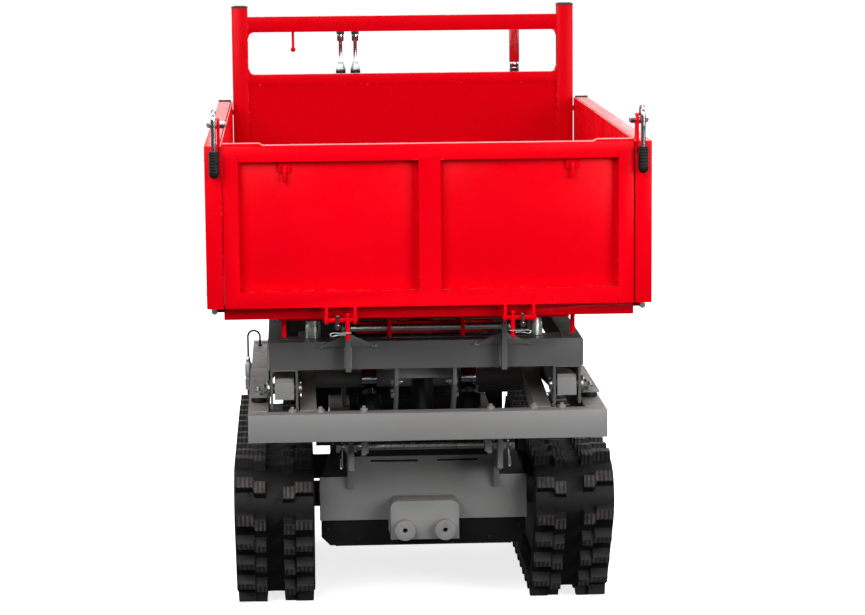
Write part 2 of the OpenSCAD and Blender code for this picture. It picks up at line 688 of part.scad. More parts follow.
// Cross-members, ram ears, tilt lugs and rope rods under the floor
module bed_subframe() color([0.75, 0.03, 0.05]) in_frame() {
    for (y = [274, 700, 1120]) block(-320, 320, y, y + 34, 691, 731);
    both() {
        difference() {
            plate_x([[184, 730], [184, 676], [194, 664], [212, 664], [236, 655], [262, 655], [275, 692],
                [275, 730]], 76, 84);
            bar_x(tilt_rod_r + fit, 70, 90, tilt_y, tilt_z);
        }
        block(110, 150, 307, 1121, 700, 731);
        difference() {
            plate_x([[440, 731], [560, 731], [516, 676], [484, 676]], 18, 26);
            bar_x(pin_r + fit, 10, 30, tilt_high[0], tilt_high[1]);
        }
        block(25, 111, 470, 530, 716, 731);
        bar_z(5, 308, 80, 685, 731);
    }
    block(-150, 150, 240, 262, 665, 690);
}

// Posts, rails and the panel between them
module headboard() color([0.82, 0.02, 0.04]) in_frame() {
    both() block(post_x, post_x + post, head_y + 0.2, head_y + post, 731, post_top_z);
    block(-post_x, post_x, head_y + 4, head_y + 36, 1273, 1312);
    block(-post_x, post_x, head_y + 10, head_y + 13, floor_z, 1160);
    block(-post_x, post_x, head_y + 8, head_y + 32, 1140, 1166);
    block(-post_x, post_x, head_y + 4, head_y + 36, 731, floor_z + 1);
}

// Long pins of the side boards, the tailgate's cross bars and the tilt ram's upper pin
module bed_hinge_pins() color([0.75, 0.76, 0.77]) in_frame() {
    both() bar_y(side_pin_r, side_hinge_x, 44, 1256, side_hinge_z);
    both() bar_x(gate_pin_r, 152, 224, gate_hinge_y, gate_hinge_z);
    bar_x(pin_r, -30, 30, tilt_high[0], tilt_high[1]);
}

module side_board(left) color([0.82, 0.02, 0.04]) in_frame() on_side(left) {
    block(inner_x, inner_x + sheet_t, 0, bed_l, floor_z, rail_z);
    block(inner_x + 5, half_w, 0, bed_l, rail_z - 30, rail_z);
    block(inner_x + 2, half_w, 0, bed_l, floor_z, floor_z + 30);
    for (y = [0, 426, 852, bed_l - 30]) block(inner_x + 2, half_w, y, y + 30, floor_z, rail_z - 29);
    // latch bracket
    difference() {
        union() {
            block(inner_x + 2, inner_x + 8, 0.5, 30, rail_z - 1, latch_z);
            bar_x(14, inner_x + 2, inner_x + 8, latch_y + 6.5, latch_z);
        }
        bar_x(5, inner_x, inner_x + 10, latch_y + 6.5, latch_z);
    }
    // hinge knuckles
    for (y = [62, 112, 622, 672, 1182, 1232]) difference() {
        union() {
            bar_y(7.5, side_hinge_x, y, y + 16, side_hinge_z);
            block(side_hinge_x - 4, side_hinge_x + 4, y, y + 16, side_hinge_z, floor_z + 1);
        }
        bar_y(side_pin_r + fit, side_hinge_x, y - 1, y + 17, side_hinge_z);
    }
}
module side_board_left() side_board(true);
module side_board_right() side_board(false);

module tailgate_frame() color([0.85, 0.02, 0.04]) in_frame() {
    block(-gate_x, gate_x, 0, 30, rail_z - tube, rail_z);
    block(-gate_x, gate_x, 0, 30, floor_z, floor_z + tube);
    block(-22, 24, 0, 30, floor_z, rail_z);
    both() {
        block(gate_x - 32, gate_x, 0, 30, floor_z, rail_z);
        block(gate_x - 78, gate_x, 2, 28, rail_z - 0.5, rail_z + 4);
        // hinge lugs
        for (x = [155, 215]) difference() {
            union() {
                block(x, x + 6, gate_hinge_y - 9, gate_hinge_y + 9, gate_hinge_z, floor_z + 1);
                bar_x(9, x, x + 6, gate_hinge_y, gate_hinge_z);
            }
            bar_x(gate_pin_r + fit, x - 1, x + 7, gate_hinge_y, gate_hinge_z);
        }
        // rope hook
        bar_y(4, 302, 12, 23, 1052);
        bar_z(4, 302, 12, 1024, 1056);
    }
}

module tailgate_sheet() color([0.82, 0.02, 0.04]) in_frame() {
    block(-gate_x + 32.1, -22.1, 23, 26, floor_z + tube + 0.1, rail_z - tube - 0.1);
    block(24.1, gate_x - 32.1, 23, 26, floor_z + tube + 0.1, rail_z - tube - 0.1);
}

// ---- tailgate latches on the side boards ----

// Cane-shaped lever: hub on its bolt, arch over the side board's end, stem down into the grip
latch_stem_x = 447;
latch_stem_y = -20;
latch_top = 1178;
latch_bend = (latch_y + 6.5 - latch_stem_y) / 2;
module latch_lever(left) color([0.8, 0.8, 0.82]) in_frame() on_side(left) {
    bar_x(9, inner_x + 8.3, inner_x + 20, latch_y + 6.5, latch_z);
    bar_x(4.9, inner_x - 6, inner_x + 9, latch_y + 6.5, latch_z);
    bar_x(8, inner_x - 8, inner_x + 1.6, latch_y + 6.5, latch_z);
    bar_z(5, latch_stem_x, latch_y + 6.5, latch_z, latch_top - latch_bend - 5);
    bar_z(5, latch_stem_x, latch_stem_y, 1092, latch_top - latch_bend - 5);
    translate([latch_stem_x, (latch_y + 6.5 + latch_stem_y) / 2, latch_top - latch_bend - 5])
        rotate([90, 0, 90]) rotate_extrude(angle = 180) translate([latch_bend, 0]) circle(5);
}
module latch_lever_left() latch_lever(true);
module latch_lever_right() latch_lever(false);

module latch_grip(left) color([0.05, 0.05, 0.05]) in_frame() on_side(left) {
    bar_z(11, latch_stem_x, latch_stem_y, 1046, 1092);
    translate([latch_stem_x, latch_stem_y, 1046]) intersection() {
        sphere(11);
        block(-12, 12, -12, 12, -12, 0.5);
    }
}
module latch_grip_left() latch_grip(true);
module latch_grip_right() latch_grip(false);

chassis_frame();
lower_frame();
front_plate();
tow_block();
frame_pins();
track_frames();
track_left();
track_right();
sprocket_left();
sprocket_right();
idler_left();
idler_right();
road_roller_left_front();
road_roller_left_rear();
road_roller_right_front();
road_roller_right_rear();
engine_block();
recoil_cover();
fuel_tank();
muffler();
air_filter();
gearbox();
guards();
hydraulic_tank();
valve_block();
limit_switch();
handlebars();
hand_grips();
lift_valve_lever();
tilt_valve_lever();
gear_lever();
throttle_lever();
clutch_lever_left();
clutch_lever_right();
inner_arms();
outer_arms();
centre_pins();
lower_rollers();
upper_rollers();
lift_barrels();
lift_rods();
tilt_barrel();
tilt_rod();
platform_frame();
tilt_hinge_rod();
stop_plates();
rubber_bumpers();
platform_pins();
bed_floor();
bed_subframe();
headboard();
bed_hinge_pins();
side_board_left();
side_board_right();
tailgate_frame();
tailgate_sheet();
latch_lever_left();
latch_lever_right();
latch_grip_left();
latch_grip_right();
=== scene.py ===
import json
import math

import bmesh
import bpy
from mathutils import Matrix, Vector, noise


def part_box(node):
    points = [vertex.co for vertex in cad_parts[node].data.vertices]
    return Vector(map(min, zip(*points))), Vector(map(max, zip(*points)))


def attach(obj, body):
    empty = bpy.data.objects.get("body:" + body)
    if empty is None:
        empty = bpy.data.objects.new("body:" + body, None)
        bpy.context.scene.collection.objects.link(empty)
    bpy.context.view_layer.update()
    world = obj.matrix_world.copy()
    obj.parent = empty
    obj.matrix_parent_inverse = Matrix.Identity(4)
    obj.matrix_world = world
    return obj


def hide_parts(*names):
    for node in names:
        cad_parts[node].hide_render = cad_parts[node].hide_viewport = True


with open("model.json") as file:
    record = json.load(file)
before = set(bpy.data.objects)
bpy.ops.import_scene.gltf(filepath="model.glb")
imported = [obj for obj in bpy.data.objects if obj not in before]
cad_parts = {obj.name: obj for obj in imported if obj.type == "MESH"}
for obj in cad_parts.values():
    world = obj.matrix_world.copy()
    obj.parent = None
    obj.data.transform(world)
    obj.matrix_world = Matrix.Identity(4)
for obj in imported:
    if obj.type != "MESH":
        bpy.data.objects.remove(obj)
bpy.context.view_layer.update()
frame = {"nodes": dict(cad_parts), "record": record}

# ---------------------------------------------------------------- frame and places

MM = 0.001
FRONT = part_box("side_board_right")[0].y  # the bed's front face
BOARD_TOP = 1101  # top face of the side boards' rails
SWITCH_X, SWITCH_Y = -402, 1100  # the lift limit switch, on the left rail
LEVER_Y = 1500  # the valve levers and the gear lever stand in one row
HINGE_X, HINGE_Z = 453.5, 748  # the side boards' hinge pins
CLEVIS_Y, CLEVIS_Z = 250, 545  # the platform's clevis pins, which carry the arms
CROSS_ROD_Y, CROSS_ROD_Z = 282, 405  # the rod through the chassis nose
LATCH_Y, LATCH_Z = 14.5, 1145  # the latch levers' pivots
BODY_OF = {n: b for b, nodes in frame["record"]["behaviour"]["bodies"].items() for n in nodes}
SLOT_OF = {s["node"]: s["material_slot"] for s in frame["record"]["subparts"]}


def at(x, y, z):
    """A point in metres from millimetres, with y counted from the bed's front face."""
    return Vector((x * MM, FRONT + y * MM, z * MM))


def sides():
    """The two sides of the machine: a name and the sign of x."""
    return (("left", -1), ("right", 1))


# ---------------------------------------------------------------- materials


class Nodes:
    """Short calls for building one material's node tree."""

    def __init__(self, name):
        self.mat = bpy.data.materials.new(name)
        self.mat.use_nodes = True
        self.tree = self.mat.node_tree
        self.shader = self.tree.nodes["Principled BSDF"]
        self.place = self.new("ShaderNodeTexCoord").outputs["Object"]

    def new(self, kind, **settings):
        node = self.tree.nodes.new(kind)
        for key, value in settings.items():
            setattr(node, key, value)
        return node

    def link(self, a, b):
        self.tree.links.new(a, b)

    def noise(self, scale, detail=4.0, rough=0.55, stretch=None):
        node = self.new("ShaderNodeTexNoise")
        node.inputs["Scale"].default_value = scale
        node.inputs["Detail"].default_value = detail
        node.inputs["Roughness"].default_value = rough
        place = self.place
        if stretch:
            mapping = self.new("ShaderNodeMapping")
            mapping.inputs["Scale"].default_value = stretch
            self.link(place, mapping.inputs["Vector"])
            place = mapping.outputs["Vector"]
        self.link(place, node.inputs["Vector"])
        return node.outputs["Fac"]

    def band(self, value, low, high, to_low=0.0, to_high=1.0):
        node = self.new("ShaderNodeMapRange")
        self.link(value, node.inputs["Value"])
        for socket, number in zip(("From Min", "From Max", "To Min", "To Max"), (low, high, to_low, to_high)):
            node.inputs[socket].default_value = number
        return node.outputs["Result"]

    def times(self, a, b):
        node = self.new("ShaderNodeMath", operation="MULTIPLY", use_clamp=True)
        self.link(a, node.inputs[0])
        if isinstance(b, (int, float)):
            node.inputs[1].default_value = b
        else:
            self.link(b, node.inputs[1])
        return node.outputs[0]

    def mix(self, share, a, b):
        node = self.new("ShaderNodeMix", data_type="RGBA")
        self.link(share, node.inputs["Factor"])
        for socket, value in ((node.inputs[6], a), (node.inputs[7], b)):
            if isinstance(value, tuple):
                socket.default_value = (*value, 1.0)
            else:
                self.link(value, socket)
        return node.outputs[2]

    def marked(self, name):
        """A number stored on the mesh's faces.

        worn is for rounded edges, lug for the tread's ribs, and inner for painted shade on the load side and
        the platform.
        """
        return self.new("ShaderNodeAttribute", attribute_name=name).outputs["Fac"]

    def up_facing(self):
        split = self.new("ShaderNodeSeparateXYZ")
        self.link(self.new("ShaderNodeTexCoord").outputs["Normal"], split.inputs[0])
        return self.band(split.outputs["Z"], 0.35, 0.95)

    def bump(self, *layers):
        """Stacks bump layers, each a height and its depth in millimetres."""
        last = None
        for height, depth in layers:
            node = self.new("ShaderNodeBump")
            node.inputs["Strength"].default_value = 1.0
            node.inputs["Distance"].default_value = depth * MM
            self.link(height, node.inputs["Height"])
            if last:
                self.link(last, node.inputs["Normal"])
            last = node.outputs["Normal"]
        self.link(last, self.shader.inputs["Normal"])

    def finish(self, color, rough, **fixed):
        self.link(color, self.shader.inputs["Base Color"])
        self.link(rough, self.shader.inputs["Roughness"])
        for key, value in fixed.items():
            self.shader.inputs[key.replace("_", " ")].default_value = value
        return self.mat


def gloss_paint(name, color, dark, chip, rough=0.27):
    """Sprayed enamel: orange peel, faint runs in the gloss, dust on top faces, small chips on edges, and
    painted shade darkening faces marked inner.
    """
    n = Nodes(name)
    tone = n.mix(n.band(n.noise(3.0, 3.0), 0.35, 0.7), color, dark)
    dust = n.times(n.up_facing(), n.band(n.noise(55.0, 6.0), 0.5, 0.78, 0.0, 0.12))
    tone = n.mix(dust, tone, (0.55, 0.36, 0.32))
    # painted shade: faces marked inner are darkened to 72% of the colour, standing for the shade inside the
    # bed
    tone = n.mix(n.marked("inner"), tone, tuple(c * 0.72 for c in color))
    chips = n.times(n.marked("worn"), n.band(n.noise(210.0, 3.0), 0.64, 0.68))
    tone = n.mix(chips, tone, chip)
    gloss = n.band(n.noise(14.0, 5.0), 0.3, 0.75, rough - 0.05, rough + 0.1)
    n.bump((n.noise(420.0, 1.0), 0.02), (n.noise(26.0, 2.0), 0.07))
    return n.finish(tone, gloss, Specular_IOR_Level=0.28, Specular_Tint=(1.0, 0.12, 0.12, 1.0))


def satin_paint(name, color, dark, dusty, rough=0.42, dust=0.7, sheen=0.3):
    """Satin enamel on welded frames: mill marks under it, brownish dust on top faces, rubbed edges, and
    painted shade halving the colour on faces marked inner.
    """
    n = Nodes(name)
    tone = n.mix(n.band(n.noise(4.0, 5.0), 0.3, 0.72), color, dark)
    tone = n.mix(n.times(n.band(n.noise(38.0, 7.0, 0.65), 0.5, 0.75), 0.15), tone, dark)
    fine = n.times(n.up_facing(), n.band(n.noise(24.0, 6.0), 0.3, 0.7, dust * 0.5, dust))
    tone = n.mix(fine, tone, dusty)
    # painted shade: faces marked inner are darkened to half the colour, standing for the shade under the bed
    tone = n.mix(n.marked("inner"), tone, tuple(c * 0.5 for c in color))
    rubbed = n.times(n.marked("worn"), n.band(n.noise(90.0, 4.0), 0.42, 0.6, 0.12, 0.6))
    tone = n.mix(rubbed, tone, tuple(min(1.0, c * 1.6 + 0.03) for c in color))
    gloss = n.band(n.noise(30.0, 6.0), 0.3, 0.7, rough - 0.08, rough + 0.14)
    n.bump((n.noise(300.0, 2.0), 0.03), (n.noise(40.0, 3.0), 0.05))
    return n.finish(tone, gloss, Specular_IOR_Level=sheen)


def rubber(name, color, dusty, rough=0.62, grain=240.0, dust=0.5):
    """Moulded rubber: fine grain, dust in patches, and rubbed, paler ribbed faces on a tread's lugs."""
    n = Nodes(name)
    tone = n.mix(n.times(n.band(n.noise(17.0, 7.0, 0.65), 0.5, 0.8), dust), color, dusty)
    scuff = n.times(n.marked("lug"), n.band(n.noise(42.0, 5.0, 0.7), 0.36, 0.62, 0.25, 1.0))
    tone = n.mix(scuff, tone, tuple(c * 3.6 + 0.01 for c in dusty))
    gloss = n.band(n.noise(50.0, 5.0), 0.3, 0.7, rough - 0.12, rough + 0.12)
    n.bump((n.noise(grain, 4.0, 0.7), 0.1), (n.noise(36.0, 3.0), 0.2))
    return n.finish(tone, gloss, Specular_IOR_Level=0.25)


def plated(name, color, stain, rough, spread, stretch=None):
    """Bare or plated metal with drawn scratches and a faint stain."""
    n = Nodes(name)
    tone = n.mix(n.band(n.noise(20.0, 5.0), 0.5, 0.8, 0.0, 0.7), color, stain)
    drawn = n.noise(260.0, 3.0, 0.6, stretch or (1.0, 1.0, 0.06))
    gloss = n.band(drawn, 0.3, 0.75, rough, rough + spread)
    n.bump((drawn, 0.01))
    return n.finish(tone, gloss, Metallic=1.0)


def cast_metal(name, color, stain, rough=0.48, metallic=0.85):
    """Sand-cast metal: coarse skin, oily patches and bright edges."""
    n = Nodes(name)
    tone = n.mix(n.band(n.noise(16.0, 6.0), 0.42, 0.72), color, stain)
    tone = n.mix(n.times(n.marked("worn"), 0.5), tone, tuple(min(1.0, c * 1.8 + 0.1) for c in color))
    gloss = n.band(n.noise(45.0, 5.0), 0.3, 0.7, rough - 0.1, rough + 0.15)
    n.bump((n.noise(220.0, 4.0), 0.12), (n.noise(700.0, 1.0), 0.05))
    return n.finish(tone, gloss, Metallic=metallic)


def moulded(name, color, pale, rough=0.45):
    """Moulded plastic with a spark-eroded grain."""
    n = Nodes(name)
    tone = n.mix(n.band(n.noise(9.0, 4.0), 0.35, 0.75), color, pale)
    gloss = n.band(n.noise(70.0, 3.0), 0.3, 0.7, rough - 0.05, rough + 0.1)
    n.bump((n.noise(800.0, 2.0), 0.05))
    return n.finish(tone, gloss, Specular_IOR_Level=0.4)


MATERIALS = {
    "red_paint": gloss_paint("red_paint", (0.70, 0.0, 0.006), (0.64, 0.0, 0.005), (0.9, 0.42, 0.4)),
    "grey_paint": satin_paint("grey_paint", (0.205, 0.203, 0.202), (0.185, 0.182, 0.18), (0.2, 0.172, 0.165)),
    "black_paint": satin_paint("black_paint", (0.008, 0.008, 0.009), (0.005, 0.005, 0.0055),
                               (0.02, 0.019, 0.018), dust=0.25, sheen=0.15),
    "wheel_steel": cast_metal("wheel_steel", (0.03, 0.03, 0.031), (0.018, 0.016, 0.015), 0.5, 0.6),
    "track_rubber": rubber("track_rubber", (0.0045, 0.0045, 0.005), (0.017, 0.0145, 0.0135)),
    "soft_rubber": rubber("soft_rubber", (0.006, 0.006, 0.0065), (0.014, 0.014, 0.014), 0.5, 400.0, 0.25),
    "zinc": plated("zinc", (0.46, 0.48, 0.47), (0.27, 0.28, 0.24), 0.22, 0.22),
    "chrome": plated("chrome", (0.50, 0.52, 0.55), (0.34, 0.35, 0.37), 0.08, 0.12),
    "engine_alloy": cast_metal("engine_alloy", (0.40, 0.41, 0.42), (0.24, 0.23, 0.22)),
    "black_plastic": moulded("black_plastic", (0.012, 0.012, 0.013), (0.02, 0.02, 0.021)),
    "red_plastic": moulded("red_plastic", (0.62, 0.004, 0.01), (0.5, 0.003, 0.008), 0.22),
    "muffler_steel": plated("muffler_steel", (0.30, 0.27, 0.24), (0.16, 0.11, 0.08), 0.35, 0.3),
}

# ---------------------------------------------------------------- pieces


def piece(name, mesh, body, slot):
    """Puts a mesh into the scene as a piece of a body, with its material."""
    obj = bpy.data.objects.new(name, mesh)
    bpy.context.scene.collection.objects.link(obj)
    mesh.materials.clear()
    mesh.materials.append(MATERIALS[slot])
    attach(obj, body)
    return obj


def from_bmesh(name, bm, body, slot, smooth=30.0):
    """Turns a bmesh into a piece, smooth-shaded below the given crease angle."""
    bmesh.ops.recalc_face_normals(bm, faces=bm.faces)
    mesh = bpy.data.meshes.new(name)
    bm.to_mesh(mesh)
    bm.free()
    for face in mesh.polygons:
        face.use_smooth = True
    mesh.set_sharp_from_angle(angle=math.radians(smooth))
    return piece(name, mesh, body, slot)


def bevelled(bm, width, segments=2, angle=28.0):
    """Rounds every edge sharper than the angle."""
    worn = bm.faces.layers.float.get("worn") or bm.faces.layers.float.new("worn")
    sharp = [e for e in bm.edges if len(e.link_faces) == 2 and e.calc_face_angle(0.0) > math.radians(angle)]
    made = bmesh.ops.bevel(bm, geom=sharp, offset=width * MM, offset_type="OFFSET", segments=segments,
                           profile=0.5, affect="EDGES", clamp_overlap=True, harden_normals=False)
    for face in made["faces"]:
        face[worn] = 1.0


# nodes whose faces get the inner mark, which the paints darken as painted shade inside and under the bed
PAINTED_SHADE_NODES = ("bed_floor", "headboard", "platform_frame")


def softened(node, width, segments=2):
    """A copy of a CAD node with its facets merged and its edges rounded; it stands for the node."""
    bm = bmesh.new()
    bm.from_mesh(frame["nodes"][node].data)
    bmesh.ops.remove_doubles(bm, verts=bm.verts, dist=1e-6)
    bmesh.ops.dissolve_limit(bm, angle_limit=math.radians(0.6), verts=bm.verts, edges=bm.edges)
    bevelled(bm, width, segments)
    # the inner mark on every face: painted shade in the paints
    if node in PAINTED_SHADE_NODES:
        inner = bm.faces.layers.float.new("inner")
        for face in bm.faces:
            face[inner] = 1.0
    obj = from_bmesh(node + "_shape", bm, BODY_OF[node], SLOT_OF[node])
    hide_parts(node)
    return obj


def lathe(bm, profile, place, axis, steps=32):
    """Turns (radius, height) points in millimetres about an axis into the bmesh."""
    turn = Vector((0, 0, 1)).rotation_difference(Vector(axis)).to_matrix().to_4x4()
    turn = Matrix.Translation(place) @ turn
    rings = []
    for radius, height in profile:
        if radius < 1e-6:
            rings.append([bm.verts.new(turn @ Vector((0, 0, height * MM)))])
            continue
        ring = []
        for k in range(steps):
            a = 2 * math.pi * k / steps
            ring.append(bm.verts.new(turn @ Vector((radius * MM * math.cos(a), radius * MM * math.sin(a),
                                                    height * MM))))
        rings.append(ring)
    for low, high in zip(rings, rings[1:]):
        for k in range(steps):
            j = (k + 1) % steps
            corners = [low[k % len(low)], low[j % len(low)], high[j % len(high)], high[k % len(high)]]
            kept = [v for i, v in enumerate(corners) if v not in corners[:i]]
            if len(kept) > 2:
                bm.faces.new(kept)


def lathed(name, profile, place, axis, body, slot, steps=32):
    bm = bmesh.new()
    lathe(bm, profile, place, axis, steps)
    return from_bmesh(name, bm, body, slot)


def smooth_path(points, steps):
    """Catmull-Rom points through the given ones."""
    ends = [points[0] * 2 - points[1]] + list(points) + [points[-1] * 2 - points[-2]]
    made = []
    for i in range(1, len(ends) - 2):
        a, b, c, d = ends[i - 1], ends[i], ends[i + 1], ends[i + 2]
        for k in range(steps):
            t = k / steps
            made.append(0.5 * ((2 * b) + (c - a) * t + (2 * a - 5 * b + 4 * c - d) * t * t
                               + (3 * b - a - 3 * c + d) * t ** 3))
    return made + [points[-1]]


def sweep(bm, path, radius, sides_=10):
    """Round bar or wire along a path; the radius, in millimetres, may be a function of the share along it."""
    turn = None
    rings = []
    for i, p in enumerate(path):
        ahead = (path[min(i + 1, len(path) - 1)] - path[max(i - 1, 0)]).normalized()
        if turn is None:
            turn = Vector((0, 0, 1)).rotation_difference(ahead)
        else:
            turn = (turn @ Vector((0, 0, 1))).rotation_difference(ahead) @ turn
        r = (radius(i / (len(path) - 1)) if callable(radius) else radius) * MM
        rings.append([bm.verts.new(p + turn @ Vector((r * math.cos(2 * math.pi * k / sides_),
                                                      r * math.sin(2 * math.pi * k / sides_), 0)))
                      for k in range(sides_)])
    for low, high in zip(rings, rings[1:]):
        for k in range(sides_):
            j = (k + 1) % sides_
            bm.faces.new((low[k], low[j], high[j], high[k]))
    bm.faces.new(rings[0][::-1])
    bm.faces.new(rings[-1])


def wire(name, points, radius, body, slot, steps=6, sides_=10):
    bm = bmesh.new()
    sweep(bm, smooth_path(points, steps), radius, sides_)
    return from_bmesh(name, bm, body, slot, 50.0)


def weld(bm, a, b, radius=3.0, pitch=4.0):
    """A weld bead from a to b: a half-buried bar with overlapping ripples and a wandering width."""
    count = max(3, int((b - a).length / (pitch * MM)))
    path = []
    sizes = []
    for k in range(count * 4 + 1):
        t = k / (count * 4)
        ripple = 0.78 + 0.22 * abs(math.sin(math.pi * t * count))
        wander = 1.0 + 0.18 * noise.noise((a + (b - a) * t) * 60.0)
        fade = min(1.0, 8 * t + 0.35, 8 * (1 - t) + 0.35)
        path.append(a + (b - a) * t)
        sizes.append(radius * ripple * wander * fade)
    last = len(sizes) - 1
    sweep(bm, path, lambda s: sizes[round(s * last)], 8)


def hex_prism(bm, across, low, high, place, axis, chamfer=0.8):
    """A hexagon bolt head or nut with chamfered corners, along an axis."""
    r = across / math.sqrt(3)
    lathe(bm, [(0, low), (r, low), (r, high - chamfer), (r - chamfer * 1.4, high), (0, high)], place, axis, 6)


def bolt(bm, place, axis, size, head=True, washer=True, stud=0.0):
    """A bolt head or nut with its washer, standing on a face; stud is the length of thread past a nut."""
    base = 0.0
    if washer:
        rim = size * 1.1
        profile = [(0, 0), (size * 1.05, 0), (rim, 0.4), (rim, 1.3), (size * 1.0, 1.7), (0, 1.7)]
        lathe(bm, profile, place, axis, 24)
        base = 1.6
    thick = size * (0.62 if head else 0.8)
    hex_prism(bm, size * 1.65, base, base + thick, place, axis)
    if stud:
        profile = [(0, base)]
        turns = max(2, int(stud / 1.4))
        for k in range(turns):
            h = base + thick + stud * k / turns
            profile += [(size * 0.5, h), (size * 0.43, h + stud / turns / 2)]
        profile += [(size * 0.4, base + thick + stud), (0, base + thick + stud)]
        lathe(bm, profile, place, axis, 20)


# ---------------------------------------------------------------- rubber tracks

LUG_H = 22.0
BELT_T = 18.0
LUG_COUNT = 31
LUG_IN, LUG_OUT = 19.0, 87.0  # a lug's ends, counted from the belt's middle
LUG_STEP = 44.0  # where the lug's inner half steps forward


class Loop:
    """The belt's outer surface in the side view: arcs round four wheels, joined by straights."""

    def __init__(self, side):
        nodes = ["idler_" + side, "road_roller_" + side + "_front", "road_roller_" + side + "_rear",
                 "sprocket_" + side]
        self.wheels = []
        for node in nodes:
            low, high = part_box(node)
            radius = (high.y - low.y) / 2 / MM + 0.8 + BELT_T
            self.wheels.append((((low.y + high.y) / 2 - FRONT) / MM, (low.z + high.z) / 2 / MM, radius))
        first = self.wheels[0]
        rear = self.wheels[3]
        self.wheels[3] = (rear[0], first[1], first[2])
        angles = []
        for i in range(4):
            (y0, z0, r0), (y1, z1, r1) = self.wheels[i], self.wheels[(i + 1) % 4]
            gap = math.hypot(y1 - y0, z1 - z0)
            angles.append((math.atan2(z1 - z0, y1 - y0) - math.acos((r0 - r1) / gap)) % (2 * math.pi))
        self.legs = []
        start = angles[3]
        for i in range(4):
            end = angles[i]
            while end < start:
                end += 2 * math.pi
            self.legs.append(("arc", i, start, end, self.wheels[i][2] * (end - start)))
            a, b = self.rim(i, end, 0), self.rim((i + 1) % 4, end, 0)
            self.legs.append(("run", i, end, (a, b), math.hypot(b[0] - a[0], b[1] - a[1])))
            start = end
        self.length = sum(leg[4] for leg in self.legs)
        self.bottom = sum(leg[4] for leg in self.legs[:3]) + self.legs[3][4] / 2

    def rim(self, i, angle, h):
        y, z, r = self.wheels[i]
        return y + (r + h) * math.cos(angle), z + (r + h) * math.sin(angle)

    def point(self, s, h):
        s %= self.length
        for kind, i, start, end, size in self.legs:
            if s <= size:
                break
            s -= size
        if kind == "arc":
            return self.rim(i, start + (end - start) * s / size, h)
        (ay, az), (by, bz) = end
        t = s / size
        return (ay + (by - ay) * t + h * math.cos(start), az + (bz - az) * t + h * math.sin(start))


def lug_outline(serration=1.6):
    """A tread lug in plan: (along, across) points, stepped near the belt's middle, with serrated edges."""
    front, back = [], []
    steps = 14
    for k in range(steps + 1):
        v = LUG_IN + (LUG_OUT - LUG_IN) * k / steps
        step = 12.0 if v < LUG_STEP else 0.0
        rib = serration if k % 2 else 0.0
        front.append((15.0 + step - rib, v))
        back.append((-13.0 + step * 0.75 + rib * 0.5, v))
    return front + back[::-1]


def track(side, sign):
    """The belt with two rows of stepped lugs, whose crowns are ribbed."""
    loop = Loop(side)
    low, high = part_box("track_" + side)
    middle = (low.x + high.x) / 2 / MM
    half = (high.x - low.x) / 2 / MM
    bm = bmesh.new()
    ribbed = bm.faces.layers.float.new("lug")

    def vert(s, v, h):
        y, z = loop.point(s, h)
        return bm.verts.new(at(middle + v * sign, y, z))

    profile = [(-half, -13), (-half, -5), (-half + 3, -1), (-half + 8, 0), (-30, 0), (-16, -1.6), (0, -2.2),
               (16, -1.6), (30, 0), (half - 8, 0), (half - 3, -1), (half, -5), (half, -13),
               (half - 4, -BELT_T), (-half + 4, -BELT_T)]
    rings = []
    count = LUG_COUNT * 8
    for k in range(count):
        s = loop.length * k / count
        rings.append([vert(s, v, h) for v, h in profile])
    for a, b in zip(rings, rings[1:] + rings[:1]):
        for k in range(len(profile)):
            j = (k + 1) % len(profile)
            bm.faces.new((a[k], a[j], b[j], b[k]))
    pitch = loop.length / LUG_COUNT
    outline = lug_outline()
    stages = ((-3, 1.25, 1.0), (3, 1.08, 0.5), (LUG_H - 2.5, 0.84, 0.0), (LUG_H, 0.72, -1.5))
    for k in range(LUG_COUNT):
        for row, shift in ((1, 0.0), (-1, 0.15)):
            s = loop.bottom + (k + shift) * pitch
            levels = []
            for h, taper, grow in stages:
                inner, outer = (LUG_IN - grow * 2, half - 1.5) if h < 4 else (20.5, half - 4)
                ring = []
                for u, v in outline:
                    centre = 8.0 if v < LUG_STEP else 1.0
                    across = min(max(v, inner), outer)
                    ring.append(vert(s + centre + (u - centre) * taper, row * across, h))
                levels.append(ring)
            for a, b in zip(levels, levels[1:]):
                for q in range(len(outline)):
                    j = (q + 1) % len(outline)
                    face = bm.faces.new((a[q], a[j], b[j], b[q]))
                    face[ribbed] = 0.06
            bm.faces.new(levels[0][::-1])
            crown = levels[-1]
            for q in range(len(outline) // 2 - 1):
                face = bm.faces.new((crown[q], crown[q + 1], crown[-2 - q], crown[-1 - q]))
                face[ribbed] = 0.25 if q % 2 else 1.0
    obj = from_bmesh("belt_" + side, bm, "chassis", "track_rubber", 24.0)
    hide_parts("track_" + side)


for side, sign in sides():
    track(side, sign)

# ---------------------------------------------------------------- frames, boards and wheels

